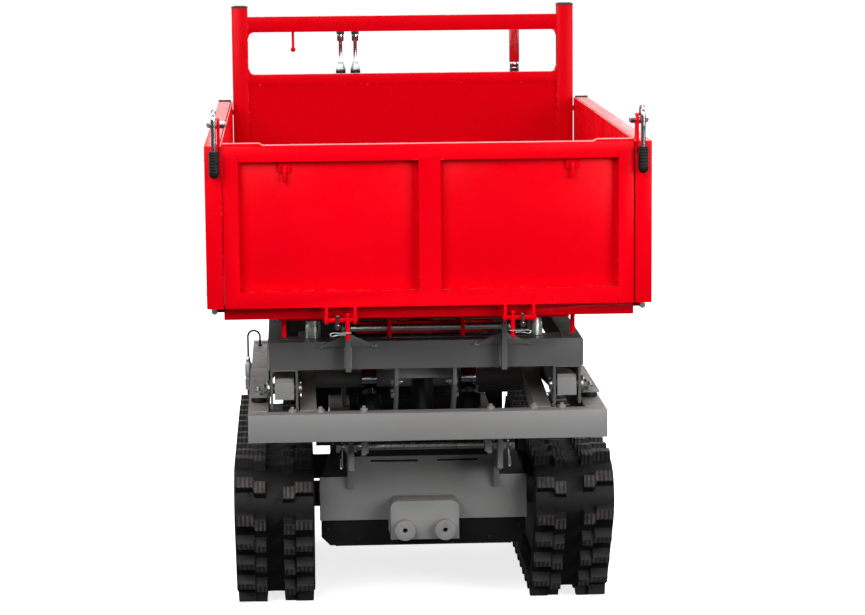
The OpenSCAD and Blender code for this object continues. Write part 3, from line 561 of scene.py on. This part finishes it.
ROUNDED = {
    "tailgate_frame": 2.2, "side_board_left": 2.2, "side_board_right": 2.2, "headboard": 2.6,
    "bed_floor": 0.8, "bed_subframe": 1.5, "tailgate_sheet": 0.6,
    "lower_frame": 2.0, "platform_frame": 2.0, "chassis_frame": 1.6, "front_plate": 1.4, "tow_block": 3.0,
    "stop_plates": 0.8, "inner_arms": 2.5, "outer_arms": 2.5, "frame_pins": 1.0, "centre_pins": 1.2,
    "platform_pins": 1.2, "tilt_hinge_rod": 1.0, "track_frames": 1.0,
    "sprocket_left": 1.2, "sprocket_right": 1.2, "idler_left": 2.5, "idler_right": 2.5,
    "road_roller_left_front": 2.5, "road_roller_left_rear": 2.5, "road_roller_right_front": 2.5,
    "road_roller_right_rear": 2.5, "lower_rollers": 1.0, "upper_rollers": 1.0, "engine_block": 1.5,
    "recoil_cover": 2.0, "gearbox": 3.0, "guards": 1.0, "hydraulic_tank": 2.0, "valve_block": 1.2,
    "fuel_tank": 9.0, "handlebars": 0.8, "hand_grips": 1.5, "lift_barrels": 1.5, "lift_rods": 1.0,
    "tilt_barrel": 1.5, "tilt_rod": 1.0, "lift_valve_lever": 1.0, "tilt_valve_lever": 1.0,
    "gear_lever": 1.2, "throttle_lever": 0.8, "clutch_lever_left": 1.0, "clutch_lever_right": 1.0,
    "rubber_bumpers": 1.2,
}
for node, width in ROUNDED.items():
    softened(node, width)
for node in frame["nodes"]:
    if node in ROUNDED:
        continue
    mesh = frame["nodes"][node].data
    mesh.materials.clear()
    mesh.materials.append(MATERIALS[SLOT_OF[node]])

# ---------------------------------------------------------------- small pieces


def blocks(name, corners, body, slot, width=1.0, segments=2):
    """Round-edged blocks between corners (x0, x1, y0, y1, z0, z1) in millimetres, as one piece."""
    bm = bmesh.new()
    for x0, x1, y0, y1, z0, z1 in corners:
        v = [bm.verts.new(at(x, y, z)) for x in (x0, x1) for y in (y0, y1) for z in (z0, z1)]
        for q in ((0, 1, 3, 2), (4, 6, 7, 5), (0, 4, 5, 1), (2, 3, 7, 6), (0, 2, 6, 4), (1, 5, 7, 3)):
            bm.faces.new([v[i] for i in q])
    bevelled(bm, width, segments)
    return from_bmesh(name, bm, body, slot)


def prism(bm, low, high):
    """A solid between two matching outlines of points."""
    low, high = [[bm.verts.new(p) for p in outline] for outline in (low, high)]
    bm.faces.new(low)
    bm.faces.new(high[::-1])
    for k in range(len(low)):
        j = (k + 1) % len(low)
        bm.faces.new((low[k], low[j], high[j], high[k]))


def mirrored(corners):
    """Blocks on the right side with their copies on the left."""
    return [box for c in corners for box in (c, (-c[1], -c[0], *c[2:]))]


def beads(name, runs, body, slot, radius=2.4):
    """Weld beads, each from one (x, y, z) point to another, as one piece."""
    bm = bmesh.new()
    for a, b in runs:
        weld(bm, at(*a), at(*b), radius)
    return from_bmesh(name, bm, body, slot, 60.0)


def both_sides(runs):
    """Runs of points on the right side with their copies on the left."""
    return list(runs) + [tuple((-x, y, z) for x, y, z in run) for run in runs]


def bolts(name, items, body, slot):
    """Bolt heads or nuts as one piece: each item is a place, an axis, a size and the other bolt() values."""
    bm = bmesh.new()
    for place, axis, size, options in items:
        bolt(bm, at(*place), axis, size, **options)
    return from_bmesh(name, bm, body, slot)


def rod(bm, a, b, radius, steps=24):
    """A round bar with chamfered ends."""
    length = (b - a).length / MM
    rim = min(0.8, radius * 0.3)
    lathe(bm, [(0, 0), (radius - rim, 0), (radius, rim), (radius, length - rim), (radius - rim, length),
               (0, length)], a, b - a, steps)


def rods(name, items, body, slot):
    bm = bmesh.new()
    for a, b, radius in items:
        rod(bm, at(*a), at(*b), radius)
    return from_bmesh(name, bm, body, slot)


def headboard_details():
    """Plastic caps on the tubes, the hook behind the rail, and the seams and welds of the frame."""
    blocks("post_caps", mirrored([(391.4, 432.6, 1313.4, 1354.6, 1334.5, 1338),
                                  (396, 428, 1318, 1350, 1337.5, 1340)]), "bed", "black_plastic", 1.0)
    for side, sign in sides():
        near, far = sorted((sign * 437, sign * 468.4))
        blocks("board_cap_" + side, [(near, far, 1300, 1311.5, BOARD_TOP - 6, BOARD_TOP + 3.5)],
               "side_board_" + side, "black_plastic", 1.2)
        near, far = sorted((sign * 431.8, sign * 438.5))
        blocks("board_buffer_" + side, [(near, far, 1318, 1334, 1066, 1078)], "bed", "soft_rubber", 2.0)
    hook_x = -278
    bm = bmesh.new()
    path = [at(hook_x, y, z) for y, z in ((1349, 1290), (1354, 1276), (1356, 1262), (1356, 1228))]
    sweep(bm, smooth_path(path, 6), 3.4, 12)
    lathe(bm, [(0, -6.5), (3.8, -5.4), (6.2, -2.2), (6.5, 0), (6.2, 2.2), (3.8, 5.4), (0, 6.5)],
          at(hook_x, 1356, 1227), (0, 0, 1), 20)
    from_bmesh("rail_hook", bm, "bed", "red_paint")
    seams = [((391.6, y, low), (391.6, y, high)) for y, low, high in
             ((1317.5, 1275, 1310), (1350.5, 1275, 1310), (1321.5, 1142, 1164), (1347, 1142, 1164))]
    beads("headboard_welds", both_sides(seams), "bed", "red_paint", 2.2)
    stitches = both_sides([((391.0, 1324, z), (391.0, 1324, z + 26)) for z in range(790, 1130, 85)])
    beads("panel_stitches", stitches, "bed", "red_paint", 1.8)
    # gussets that round the window's corners
    bend = 14
    bm = bmesh.new()
    for sign in (-1, 1):
        for z, up in ((1166, 1), (1273, -1)):
            arc = [(390 - bend + bend * math.sin(a), z + up * (bend - bend * math.cos(a)))
                   for a in [math.pi / 2 * k / 8 for k in range(9)]]
            outline = [(393, z - up * 2), (374, z - up * 2)] + arc + [(393, z + up * bend)]
            prism(bm, *([at(sign * x, y, h) for x, h in outline] for y in (1319, 1349)))
    from_bmesh("window_corners", bm, "bed", "red_paint", 40.0)


def tailgate_details():
    """Stitched seams, raised lips on the top corners, hooks' bases, and the hinges' pins and clips."""
    seams = [((398, -0.3, 1069), (398, -0.3, 1084)), ((398, -0.3, 761), (398, -0.3, 775)),
             ((24.3, 0, 1067), (33, 0, 1067)), ((24, 0, 793.3), (33, 0, 793.3))]
    corners = [((397, 22.5, z), (397, 22.5, z + 22)) for z in (800, 905, 1010, 1040)]
    corners += [((25, 22.5, z), (25, 22.5, z + 20)) for z in (800, 920, 1040)]
    corners += [((x, 22.5, 794), (x + 24, 22.5, 794)) for x in (60, 200, 330)]
    corners += [((x, 22.5, 1066), (x + 24, 22.5, 1066)) for x in (70, 210, 340)]
    beads("gate_welds", both_sides(seams + corners), "tailgate", "red_paint", 1.7)
    lip = [(346, 1101.2), (354, 1105.4), (429.5, 1105.4), (429.5, 1100.5), (346, 1100.5)]
    bm = bmesh.new()
    for sign in (-1, 1):
        prism(bm, *([at(sign * x, y, z) for x, z in lip] for y in (1.5, 28.5)))
    bevelled(bm, 0.8)
    from_bmesh("gate_lips", bm, "tailgate", "red_paint")
    blocks("hook_bases", mirrored([(289, 315, 17, 24, 1043, 1062)]), "tailgate", "red_paint", 2.0)
    beads("hook_welds", both_sides([((288, 22, 1044), (288, 22, 1061)), ((316, 22, 1044), (316, 22, 1061))]),
          "tailgate", "red_paint", 2.0)
    # hinges
    bars = [((s * 152, 5, 731), (s * 224, 5, 731), 5) for s in (-1, 1)]
    hinge_bars = rods("gate_hinge_bars", bars, "bed", "red_paint")
    bars = [((s * 174, -3, 690), (s * 174, -3, 746), 4.4) for s in (-1, 1)]
    rods("gate_lock_rods", bars, "bed", "red_paint")
    bm = bmesh.new()
    for x in (-195, 195):
        rod(bm, at(x, -4.5, 712), at(x, -4.5, 741), 3.6)
        hex_prism(bm, 11, 0, 6, at(x, -4.5, 714), (0, 0, 1))
        hex_prism(bm, 11, 0, 5, at(x, -4.5, 737), (0, 0, 1))
        lathe(bm, [(0, 0), (7.5, 0), (7.5, 1.4), (0, 1.4)], at(x, -4.5, 720.4), (0, 0, 1), 20)
    from_bmesh("gate_hinge_bolts", bm, "bed", "chrome")
    clip = [(166, 705), (190, 705), (206, 705.5), (211.5, 702), (207, 698.5), (198, 700.5), (186, 701.5),
            (178, 701)]
    for side, s in sides():
        wire("gate_clip_" + side, [at(s * x, -8.6, z) for x, z in clip], 1.5, "bed", "zinc")
    bm = bmesh.new()
    for s in (-1, 1):
        rod(bm, at(s * HINGE_X, 44, HINGE_Z), at(s * HINGE_X, 1256, HINGE_Z), 4)
        for y in (40, 1256):
            lathe(bm, [(0, 0), (6.2, 0), (6.6, 0.6), (6.6, 3.4), (6, 4), (0, 4)], at(s * HINGE_X, y, HINGE_Z),
                  (0, 1, 0), 20)
    rod(bm, at(-30, 499.8, 694.5), at(30, 499.8, 694.5), 12)
    pins = from_bmesh("bed_pins_zinc", bm, "bed", "zinc")
    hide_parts("bed_hinge_pins")
    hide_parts("bed_hinge_pins")


def grip_profile():
    """A ribbed rubber grip, 46 mm long, from its closed end up."""
    profile = [(0, -11), (4.5, -10.2), (8, -7.6), (10.2, -4), (11, 0)]
    for k in range(7):
        h = 2 + k * 6.2
        profile += [(11.2, h), (11.5, h + 1.4), (11.2, h + 3.2), (9.9, h + 4.0), (9.9, h + 5.4)]
    return profile + [(11, 45.2), (9.6, 46), (0, 46)]


def latch_details():
    """Ribbed grips on the stems, hub nuts, bolts through the brackets and their stiffening ears."""
    for side, s in sides():
        grip = lathed("grip_" + side, grip_profile(), at(s * 447, -20, 1046), (0, 0, 1), "latch_" + side,
                      "soft_rubber", 28)
        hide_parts("latch_grip_" + side)
        outer = ((s * 453, LATCH_Y, LATCH_Z), (s, 0, 0), 7, {"head": False, "stud": 2.0})
        bolts("latch_nut_" + side, [outer], "latch_" + side, "zinc")
        inner = ((s * 425, LATCH_Y, LATCH_Z), (-s, 0, 0), 6, {"washer": False})
        bolts("latch_inner_nut_" + side, [inner], "latch_" + side, "zinc")
        bm = bmesh.new()
        outline = [(23, 1100.5), (46, 1100.5), (32, 1112), (29, 1138), (24, 1142), (20, 1142)]
        prism(bm, *([at(s * x, y, z) for y, z in outline] for x in (435.2, 439.8)))
        bevelled(bm, 0.8)
        from_bmesh("latch_ear_" + side, bm, "side_board_" + side, "red_paint")
        beads("latch_weld_" + side, [((s * 442, 2, 1101.5), (s * 442, 30, 1101.5))], "side_board_" + side,
              "red_paint", 2.0)


def board_details():
    """Weld beads between the side boards' ribs and rails, and stitches along their sheets."""
    stitches = ((467.6, 790, 800), (436.5, 800, 830), (436.5, 920, 950), (436.5, 1030, 1060))
    for side, s in sides():
        runs = []
        for y in (0, 426, 852, 1278):
            for edge in (y + 0.4, y + 29.6):
                if 1 < edge < 1307:
                    runs += [((s * x, edge, low), (s * x, edge, high)) for x, low, high in stitches]
            runs += [((s * 467.4, y + 2, z), (s * 467.4, y + 28, z)) for z in (789.4, 1071.4)]
        for y in range(60, 1260, 130):
            runs.append(((s * 436.5, y, 789.6), (s * 436.5, y + 26, 789.6)))
        beads("board_welds_" + side, runs, "side_board_" + side, "red_paint", 1.8)


def platform_details():
    """Brackets of the tilt ram, clevis pins' washers and cotters, zinc rests, stop bolts and welds."""
    plates = mirrored([(60, 118, 262.2, 322, 584, 589.8)])
    plates += [(-60.2, 60.2, 292, 297, 556, 589.8)]
    blocks("ram_brackets", plates, "platform", "grey_paint", 1.4)
    items = []
    for s in (-1, 1):
        for y, z in ((300, 547), (318, 524), (286, 520)):
            items.append(((s * 68, y, z), (s, 0, 0), 7, {"head": z > 540}))
        items.append(((s * 60, 300, 547), (-s, 0, 0), 7, {"head": False, "stud": 4.0}))
    bolts("ram_bracket_bolts", items, "platform", "zinc")
    inner_washer = [(13, 0), (19, 0), (19.6, 0.6), (19.6, 1.8), (19, 2.4), (13, 2.4)]
    outer_washer = [(13, 0), (18.5, 0), (19, 0.6), (19, 1.8), (18.5, 2.4), (13, 2.4)]
    pin_head = [(0, 0), (12, 0), (12, 3), (10.5, 5.5), (0, 5.5)]
    cotter = [(274.4, 250, 559), (274.4, 249, 548), (274.4, 250, 532), (272, 246, 524), (268, 243, 528)]
    bm = bmesh.new()
    for s in (-1, 1):
        inward, outward = (-s, 0, 0), (s, 0, 0)
        lathe(bm, inner_washer, at(s * 279.6, CLEVIS_Y, CLEVIS_Z), inward, 32)
        lathe(bm, pin_head, at(s * 277.4, CLEVIS_Y, CLEVIS_Z), inward, 28)
        sweep(bm, smooth_path([at(s * x, y, z) for x, y, z in cotter], 5), 1.7, 8)
        lathe(bm, outer_washer, at(s * 345.8, CLEVIS_Y, CLEVIS_Z), outward, 32)
        hex_prism(bm, 17, 0, 9, at(s * 347.5, CLEVIS_Y, CLEVIS_Z), outward)
    from_bmesh("clevis_fittings", bm, "platform", "zinc")
    bm = bmesh.new()
    for s in (-1, 1):
        lathe(bm, [(15.2, 0), (17, 0), (17, 24), (16.2, 27), (15.4, 30), (15.4, 38.4), (13, 39.5), (0, 39.5)],
              at(s * 245, 290, 651), (0, 0, 1), 32)
    from_bmesh("bed_rests", bm, "platform", "zinc")
    bolts("stop_bolts", [((s * 367, 300, 526), (0, 0, 1), 8, {"head": False, "stud": 7.0}) for s in (-1, 1)],
          "platform", "zinc")
    runs = [((281, 223, 589), (339, 223, 589)), ((280, 224, 589), (280, 276, 589)),
            ((340, 224, 589), (340, 276, 589)), ((303.5, 262, 651), (303.5, 274, 651)),
            ((344, 220.5, 592), (344, 220.5, 650)),
            ((163.5, 219.6, 592), (163.5, 219.6, 640)), ((176.5, 219.6, 592), (176.5, 219.6, 640)),
            ((105, 213.4, 641), (118, 213.4, 641)), ((222, 213.4, 641), (235, 213.4, 641)),
            ((105, 213.8, 642), (112, 213.8, 645)), ((61, 291.4, 560), (61, 291.4, 585))]
    beads("platform_welds", both_sides(runs), "platform", "grey_paint", 2.2)


def lower_frame_details():
    """Bolts through the lower frame's front beam, its clamps and welds."""
    items = []
    for s in (-1, 1):
        for x in (293, 232, 138):
            items.append(((s * x, 163, 507), (0, 0, 1), 8.5, {"head": False, "washer": False, "stud": 5.0}))
            items.append(((s * x, 163, 447), (0, 0, -1), 8.5, {"washer": x < 200}))
    bolts("beam_bolts", items, "chassis", "grey_paint")
    blocks("beam_clamps", mirrored([(133, 143, 214, 224, 399, 447), (128, 133.1, 214, 262, 404, 447)]),
           "chassis", "grey_paint", 1.2)
    runs = [((384.5, 174.5, 450), (384.5, 174.5, 505)), ((346, 174.5, 507), (384, 174.5, 507)),
            ((346, 1140.5, 507), (384, 1140.5, 507)), ((229.5, 174.5, 455), (229.5, 174.5, 500)),
            ((286.5, 174.5, 455), (286.5, 174.5, 500)), ((159, 403.8, 332), (159, 403.8, 378)),
            ((171, 403.8, 332), (171, 403.8, 378)), ((159, 404.5, 378), (164, 404.5, 378))]
    beads("lower_frame_welds", both_sides(runs), "chassis", "grey_paint", 2.4)


def nose_details():
    """Cross rod fittings, hairpin clips, the hitch block's welds and boss chamfers, and a black sheet of
    painted shade on the nose plate.
    """
    hairpin = [(184, 282, 416), (184, 281, 405), (184.5, 280, 390), (185, 279, 370), (185, 279, 361),
               (187, 279, 357), (189, 279, 362), (188, 278, 378)]
    bm = bmesh.new()
    for s in (-1, 1):
        for x in (171.2, 190):
            hex_prism(bm, 22, 0, 8, at(s * x, CROSS_ROD_Y, CROSS_ROD_Z), (s, 0, 0))
        hex_prism(bm, 20, 0, 7, at(s * 158.8, CROSS_ROD_Y, CROSS_ROD_Z), (-s, 0, 0))
        sweep(bm, smooth_path([at(s * x, y, z) for x, y, z in hairpin], 5), 1.7, 8)
    from_bmesh("cross_rod_fittings", bm, "chassis", "zinc")
    runs = [((77.4, 403.6, 184), (77.4, 403.6, 248)), ((-60, 403.6, 268.4), (60, 403.6, 268.4)),
            ((-76, 403.6, 180), (76, 403.6, 180))]
    beads("nose_welds", runs + [((-77.4, 403.6, 184), (-77.4, 403.6, 248))], "chassis", "grey_paint", 2.6)
    collar = [(23, 0), (26, 0), (26.4, -0.8), (25.2, -2.2), (23, -2.8)]
    bm = bmesh.new()
    for x in (-45, 45):
        lathe(bm, collar, at(x, 340.2, 205), (0, 1, 0), 40)
    from_bmesh("boss_welds", bm, "chassis", "grey_paint")
    # painted shade: a thin black sheet on the upper nose plate stands for the shadow under the lower beam
    blocks("nose_painted_shade_sheet", [(-158, 158, 403.8, 405.2, 359, 393)], "chassis", "black_paint", 0.4)
    screws = [((s * x, 411.2, z), (0, -1, 0), 5, {}) for s in (-1, 1) for x, z in ((150, 165), (218, 190))]
    bolts("guard_screws", screws, "chassis", "black_paint")


def switch_details():
    """The limit switch: plunger, body with a sealing collar, and its cable looped into the rail."""
    place, up = at(SWITCH_X, SWITCH_Y, 0), (0, 0, 1)
    profile = [(0, 396), (3, 396), (8.5, 397), (8.5, 425), (7.6, 426), (7.6, 431), (8.5, 432), (8.5, 462),
               (7, 466), (4.6, 468), (0, 468)]
    body = lathed("switch_body", profile, place, up, "chassis", "engine_alloy")
    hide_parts("limit_switch")
    profile = [(0, 383), (2.6, 383.4), (4, 385), (4, 397), (0, 397)]
    lathed("switch_tip", profile, place, up, "chassis", "chrome", 20)
    profile = [(0, 466), (5, 466), (5.4, 468), (5.4, 474), (4.4, 476), (3.6, 480), (0, 480)]
    lathed("switch_gland", profile, place, up, "chassis", "zinc", 20)
    blocks("switch_bracket", [(-398, -389.2, 1092, 1108, 430, 450)], "chassis", "grey_paint", 1.0)
    bend = 15
    rail_x = SWITCH_X + 2 * bend
    bm = bmesh.new()
    arc = [at(SWITCH_X + bend - bend * math.cos(a), SWITCH_Y, 530 + bend * math.sin(a))
           for a in [math.pi * k / 12 for k in range(13)]]
    rise = [at(SWITCH_X, SWITCH_Y, 474), at(SWITCH_X, SWITCH_Y, 502)]
    sweep(bm, rise + arc + [at(rail_x, SWITCH_Y, 507.3)], 2.5, 12)
    lathe(bm, [(2, 0), (5.6, 0), (5.8, 1.4), (4.2, 2.6), (2.6, 2.8)], at(rail_x, SWITCH_Y, 507.2), up, 20)
    from_bmesh("switch_cable", bm, "chassis", "soft_rubber")


def control_details():
    """Black caps on the valve levers, their forks and boots, and the red lever's chrome neck."""
    cap = [(0, 1257), (8, 1257), (9.6, 1258), (9.9, 1260), (9.9, 1266), (9, 1268.5), (5, 1269.8), (0, 1270)]
    fork = [(0, 1162), (12, 1163), (13, 1166), (12.5, 1169), (8.4, 1179), (6.6, 1187), (0, 1188)]
    boot = [(0, 1151), (13, 1151), (14, 1152.5), (12.4, 1154.5), (13.8, 1157), (12.2, 1159), (13.2, 1161.5),
            (12, 1164), (0, 1165)]
    for name, x in (("lift", -155), ("tilt", -117)):
        place, body = at(x, LEVER_Y, 0), name + "_valve_lever"
        lathed(name + "_lever_cap", cap, place, (0, 0, 1), body, "black_plastic", 24)
        lathed(name + "_lever_fork", fork, place, (0, 0, 1), body, "zinc", 6)
        lathed(name + "_lever_boot", boot, place, (0, 0, 1), body, "soft_rubber", 24)
    neck = [(0, 1154), (11.4, 1154), (12, 1155.5), (12, 1166), (11, 1167.5), (11.6, 1169), (11.6, 1181),
            (11, 1182.5), (0, 1182.5)]
    lathed("gear_lever_neck", neck, at(297, LEVER_Y, 0), (0, 0, 1), "gear_lever", "chrome", 28)


def engine_details():
    """Starter hub, pull handle, filler caps, muffler guard and bolts."""
    bm = bmesh.new()
    for k in range(10):
        a = 2 * math.pi * k / 10
        hub = at(148.3, 1560 + 50 * math.cos(a), 450 + 50 * math.sin(a))
        lathe(bm, [(0, 0), (4.4, 0), (4, 1.6), (0, 1.8)], hub, (1, 0, 0), 6)
    lathe(bm, [(0, 0), (26, 0), (28, 1.5), (24, 3.5), (0, 4.2)], at(148, 1560, 450), (1, 0, 0), 40)
    from_bmesh("starter_hub", bm, "chassis", "black_plastic")
    rods("pull_handle", [((118, 1448, 512), (118, 1488, 512), 8)], "chassis", "soft_rubber")
    bm = bmesh.new()
    fuel_cap = [(0, 0), (20, 0), (27, 1.5), (28, 4), (28, 16), (26.5, 19.5), (12, 21.5), (0, 22)]
    lathe(bm, fuel_cap, at(60, 1652, 700), (0, 0, 1), 36)
    lathe(bm, [(0, 0), (24, 0), (26, 1.5), (26, 12), (24, 14.5), (0, 16)], at(-268, 1520, 652), (0, 0, 1), 8)
    from_bmesh("filler_caps", bm, "chassis", "black_plastic")
    slats = [(-192, -94, 1506 + 18 * k, 1513 + 18 * k, 671, 677) for k in range(8)]
    slats += [(-195, -191, 1506 + 18 * k, 1513 + 18 * k, 566, 676) for k in range(8)]
    slats += [(-196, -190, 1500, 1640, 566, 572), (-196, -190, 1500, 1640, 640, 646)]
    blocks("muffler_guard", slats, "chassis", "black_paint", 1.0)
    items = [((s * 110, y, 356), (0, 0, 1), 7, {}) for s in (-1, 1) for y in (1492, 1628)]
    guard_bolts = ((1260, 240), (1380, 290), (1480, 420), (1585, 440))
    items += [((-148.4, y, z), (-1, 0, 0), 5, {}) for y, z in guard_bolts]
    bolts("engine_bolts", items, "chassis", "zinc")


headboard_details()
tailgate_details()
latch_details()
board_details()
platform_details()
lower_frame_details()
nose_details()
switch_details()
control_details()
engine_details()

# ---------------------------------------------------------------- camera and light

CAMERA_FROM_FRONT = Vector((-0.2851, -5.927, 1.6181))
YAW = math.radians(2.80)
PITCH = math.radians(8.27)
ROLL = -0.009

forward = Vector((math.sin(YAW) * math.cos(PITCH), math.cos(YAW) * math.cos(PITCH), -math.sin(PITCH)))
level = Vector((math.cos(YAW), -math.sin(YAW), 0))
upward = level.cross(forward)
right = math.cos(ROLL) * level + math.sin(ROLL) * upward
top = -math.sin(ROLL) * level + math.cos(ROLL) * upward
camera = bpy.data.objects.new("camera", bpy.data.cameras.new("camera"))
bpy.context.scene.collection.objects.link(camera)
camera.data.sensor_width = 36.0
camera.data.lens = 118.7
camera.data.clip_end = 100.0
camera.matrix_world = Matrix.Translation(CAMERA_FROM_FRONT + Vector((0, FRONT, 0))) @ Matrix(
    (right, top, -forward)).transposed().to_4x4()
bpy.context.scene.camera = camera


def soft_light(name, place, target, size, power, color=(1, 1, 1)):
    data = bpy.data.lights.new(name, "AREA")
    data.shape = "RECTANGLE"
    data.size, data.size_y = size
    data.energy = power
    data.color = color
    obj = bpy.data.objects.new(name, data)
    obj.location = place
    obj.rotation_euler = (Vector(target) - Vector(place)).to_track_quat("-Z", "Y").to_euler()
    bpy.context.scene.collection.objects.link(obj)


soft_light("key", (-2.0, -4.4, 3.0), (0, -0.8, 0.6), (2.8, 2.2), 178)
soft_light("fill", (3.0, -4.2, 2.0), (0, -0.8, 0.6), (2.6, 2.4), 178)
soft_light("top", (0, -0.4, 4.4), (0, 0.1, 0.8), (3.6, 3.6), 110)
soft_light("left", (-4.4, 1.2, 2.4), (0, 0.3, 0.6), (2.4, 2.4), 90)
soft_light("right", (4.4, 1.4, 2.4), (0, 0.3, 0.6), (2.4, 2.4), 90)
soft_light("back", (0.6, 4.6, 2.8), (0, 0.4, 0.8), (3.0, 2.2), 45)
bpy.context.scene.view_settings.view_transform = "Standard"


def studio_world():
    """A white studio: bright above the horizon, dim below it, and weak as fill light."""
    world = bpy.data.worlds.new("studio")
    world.use_nodes = True
    tree = world.node_tree
    shade = tree.nodes["Background"]
    rays = tree.nodes.new("ShaderNodeLightPath")
    split = tree.nodes.new("ShaderNodeSeparateXYZ")
    tree.links.new(tree.nodes.new("ShaderNodeTexCoord").outputs["Generated"], split.inputs[0])
    ramp = tree.nodes.new("ShaderNodeMapRange")
    tree.links.new(split.outputs["Z"], ramp.inputs["Value"])
    for socket, number in zip(("From Min", "From Max", "To Min", "To Max"), (-0.1, 0.12, 0.12, 1.0)):
        ramp.inputs[socket].default_value = number
    diffuse = tree.nodes.new("ShaderNodeMapRange")
    tree.links.new(rays.outputs["Is Diffuse Ray"], diffuse.inputs["Value"])
    diffuse.inputs["To Min"].default_value = 0.5
    diffuse.inputs["To Max"].default_value = 0.28
    product = tree.nodes.new("ShaderNodeMath")
    product.operation = "MULTIPLY"
    tree.links.new(ramp.outputs["Result"], product.inputs[0])
    tree.links.new(diffuse.outputs["Result"], product.inputs[1])
    seen = tree.nodes.new("ShaderNodeMath")
    seen.operation = "MAXIMUM"
    tree.links.new(product.outputs[0], seen.inputs[0])
    tree.links.new(rays.outputs["Is Camera Ray"], seen.inputs[1])
    tree.links.new(seen.outputs[0], shade.inputs["Strength"])
    shade.inputs["Color"].default_value = (1, 1, 1, 1)
    bpy.context.scene.world = world


def floor():
    """A pale, glowing studio floor that catches a faint shadow and throws no light back."""
    bm = bmesh.new()
    corners = ((-1, -1), (1, -1), (1, 1), (-1, 1))
    half = 80.0
    bm.faces.new([bm.verts.new((half * x, half * y, 0)) for x, y in corners])
    mesh = bpy.data.meshes.new("floor")
    bm.to_mesh(mesh)
    bm.free()
    obj = bpy.data.objects.new("floor", mesh)
    n = Nodes("floor")
    tone = n.mix(n.band(n.noise(2.0, 3.0), 0.3, 0.7), (0.9, 0.9, 0.9), (0.88, 0.88, 0.885))
    gloss = n.band(n.noise(6.0, 3.0), 0.3, 0.7, 0.75, 0.9)
    mesh.materials.append(n.finish(tone, gloss, Emission_Color=(1, 1, 1, 1), Emission_Strength=0.78,
                                   Specular_IOR_Level=0.0))
    obj.visible_diffuse = False
    obj.visible_glossy = False
    bpy.context.scene.collection.objects.link(obj)


studio_world()
floor()
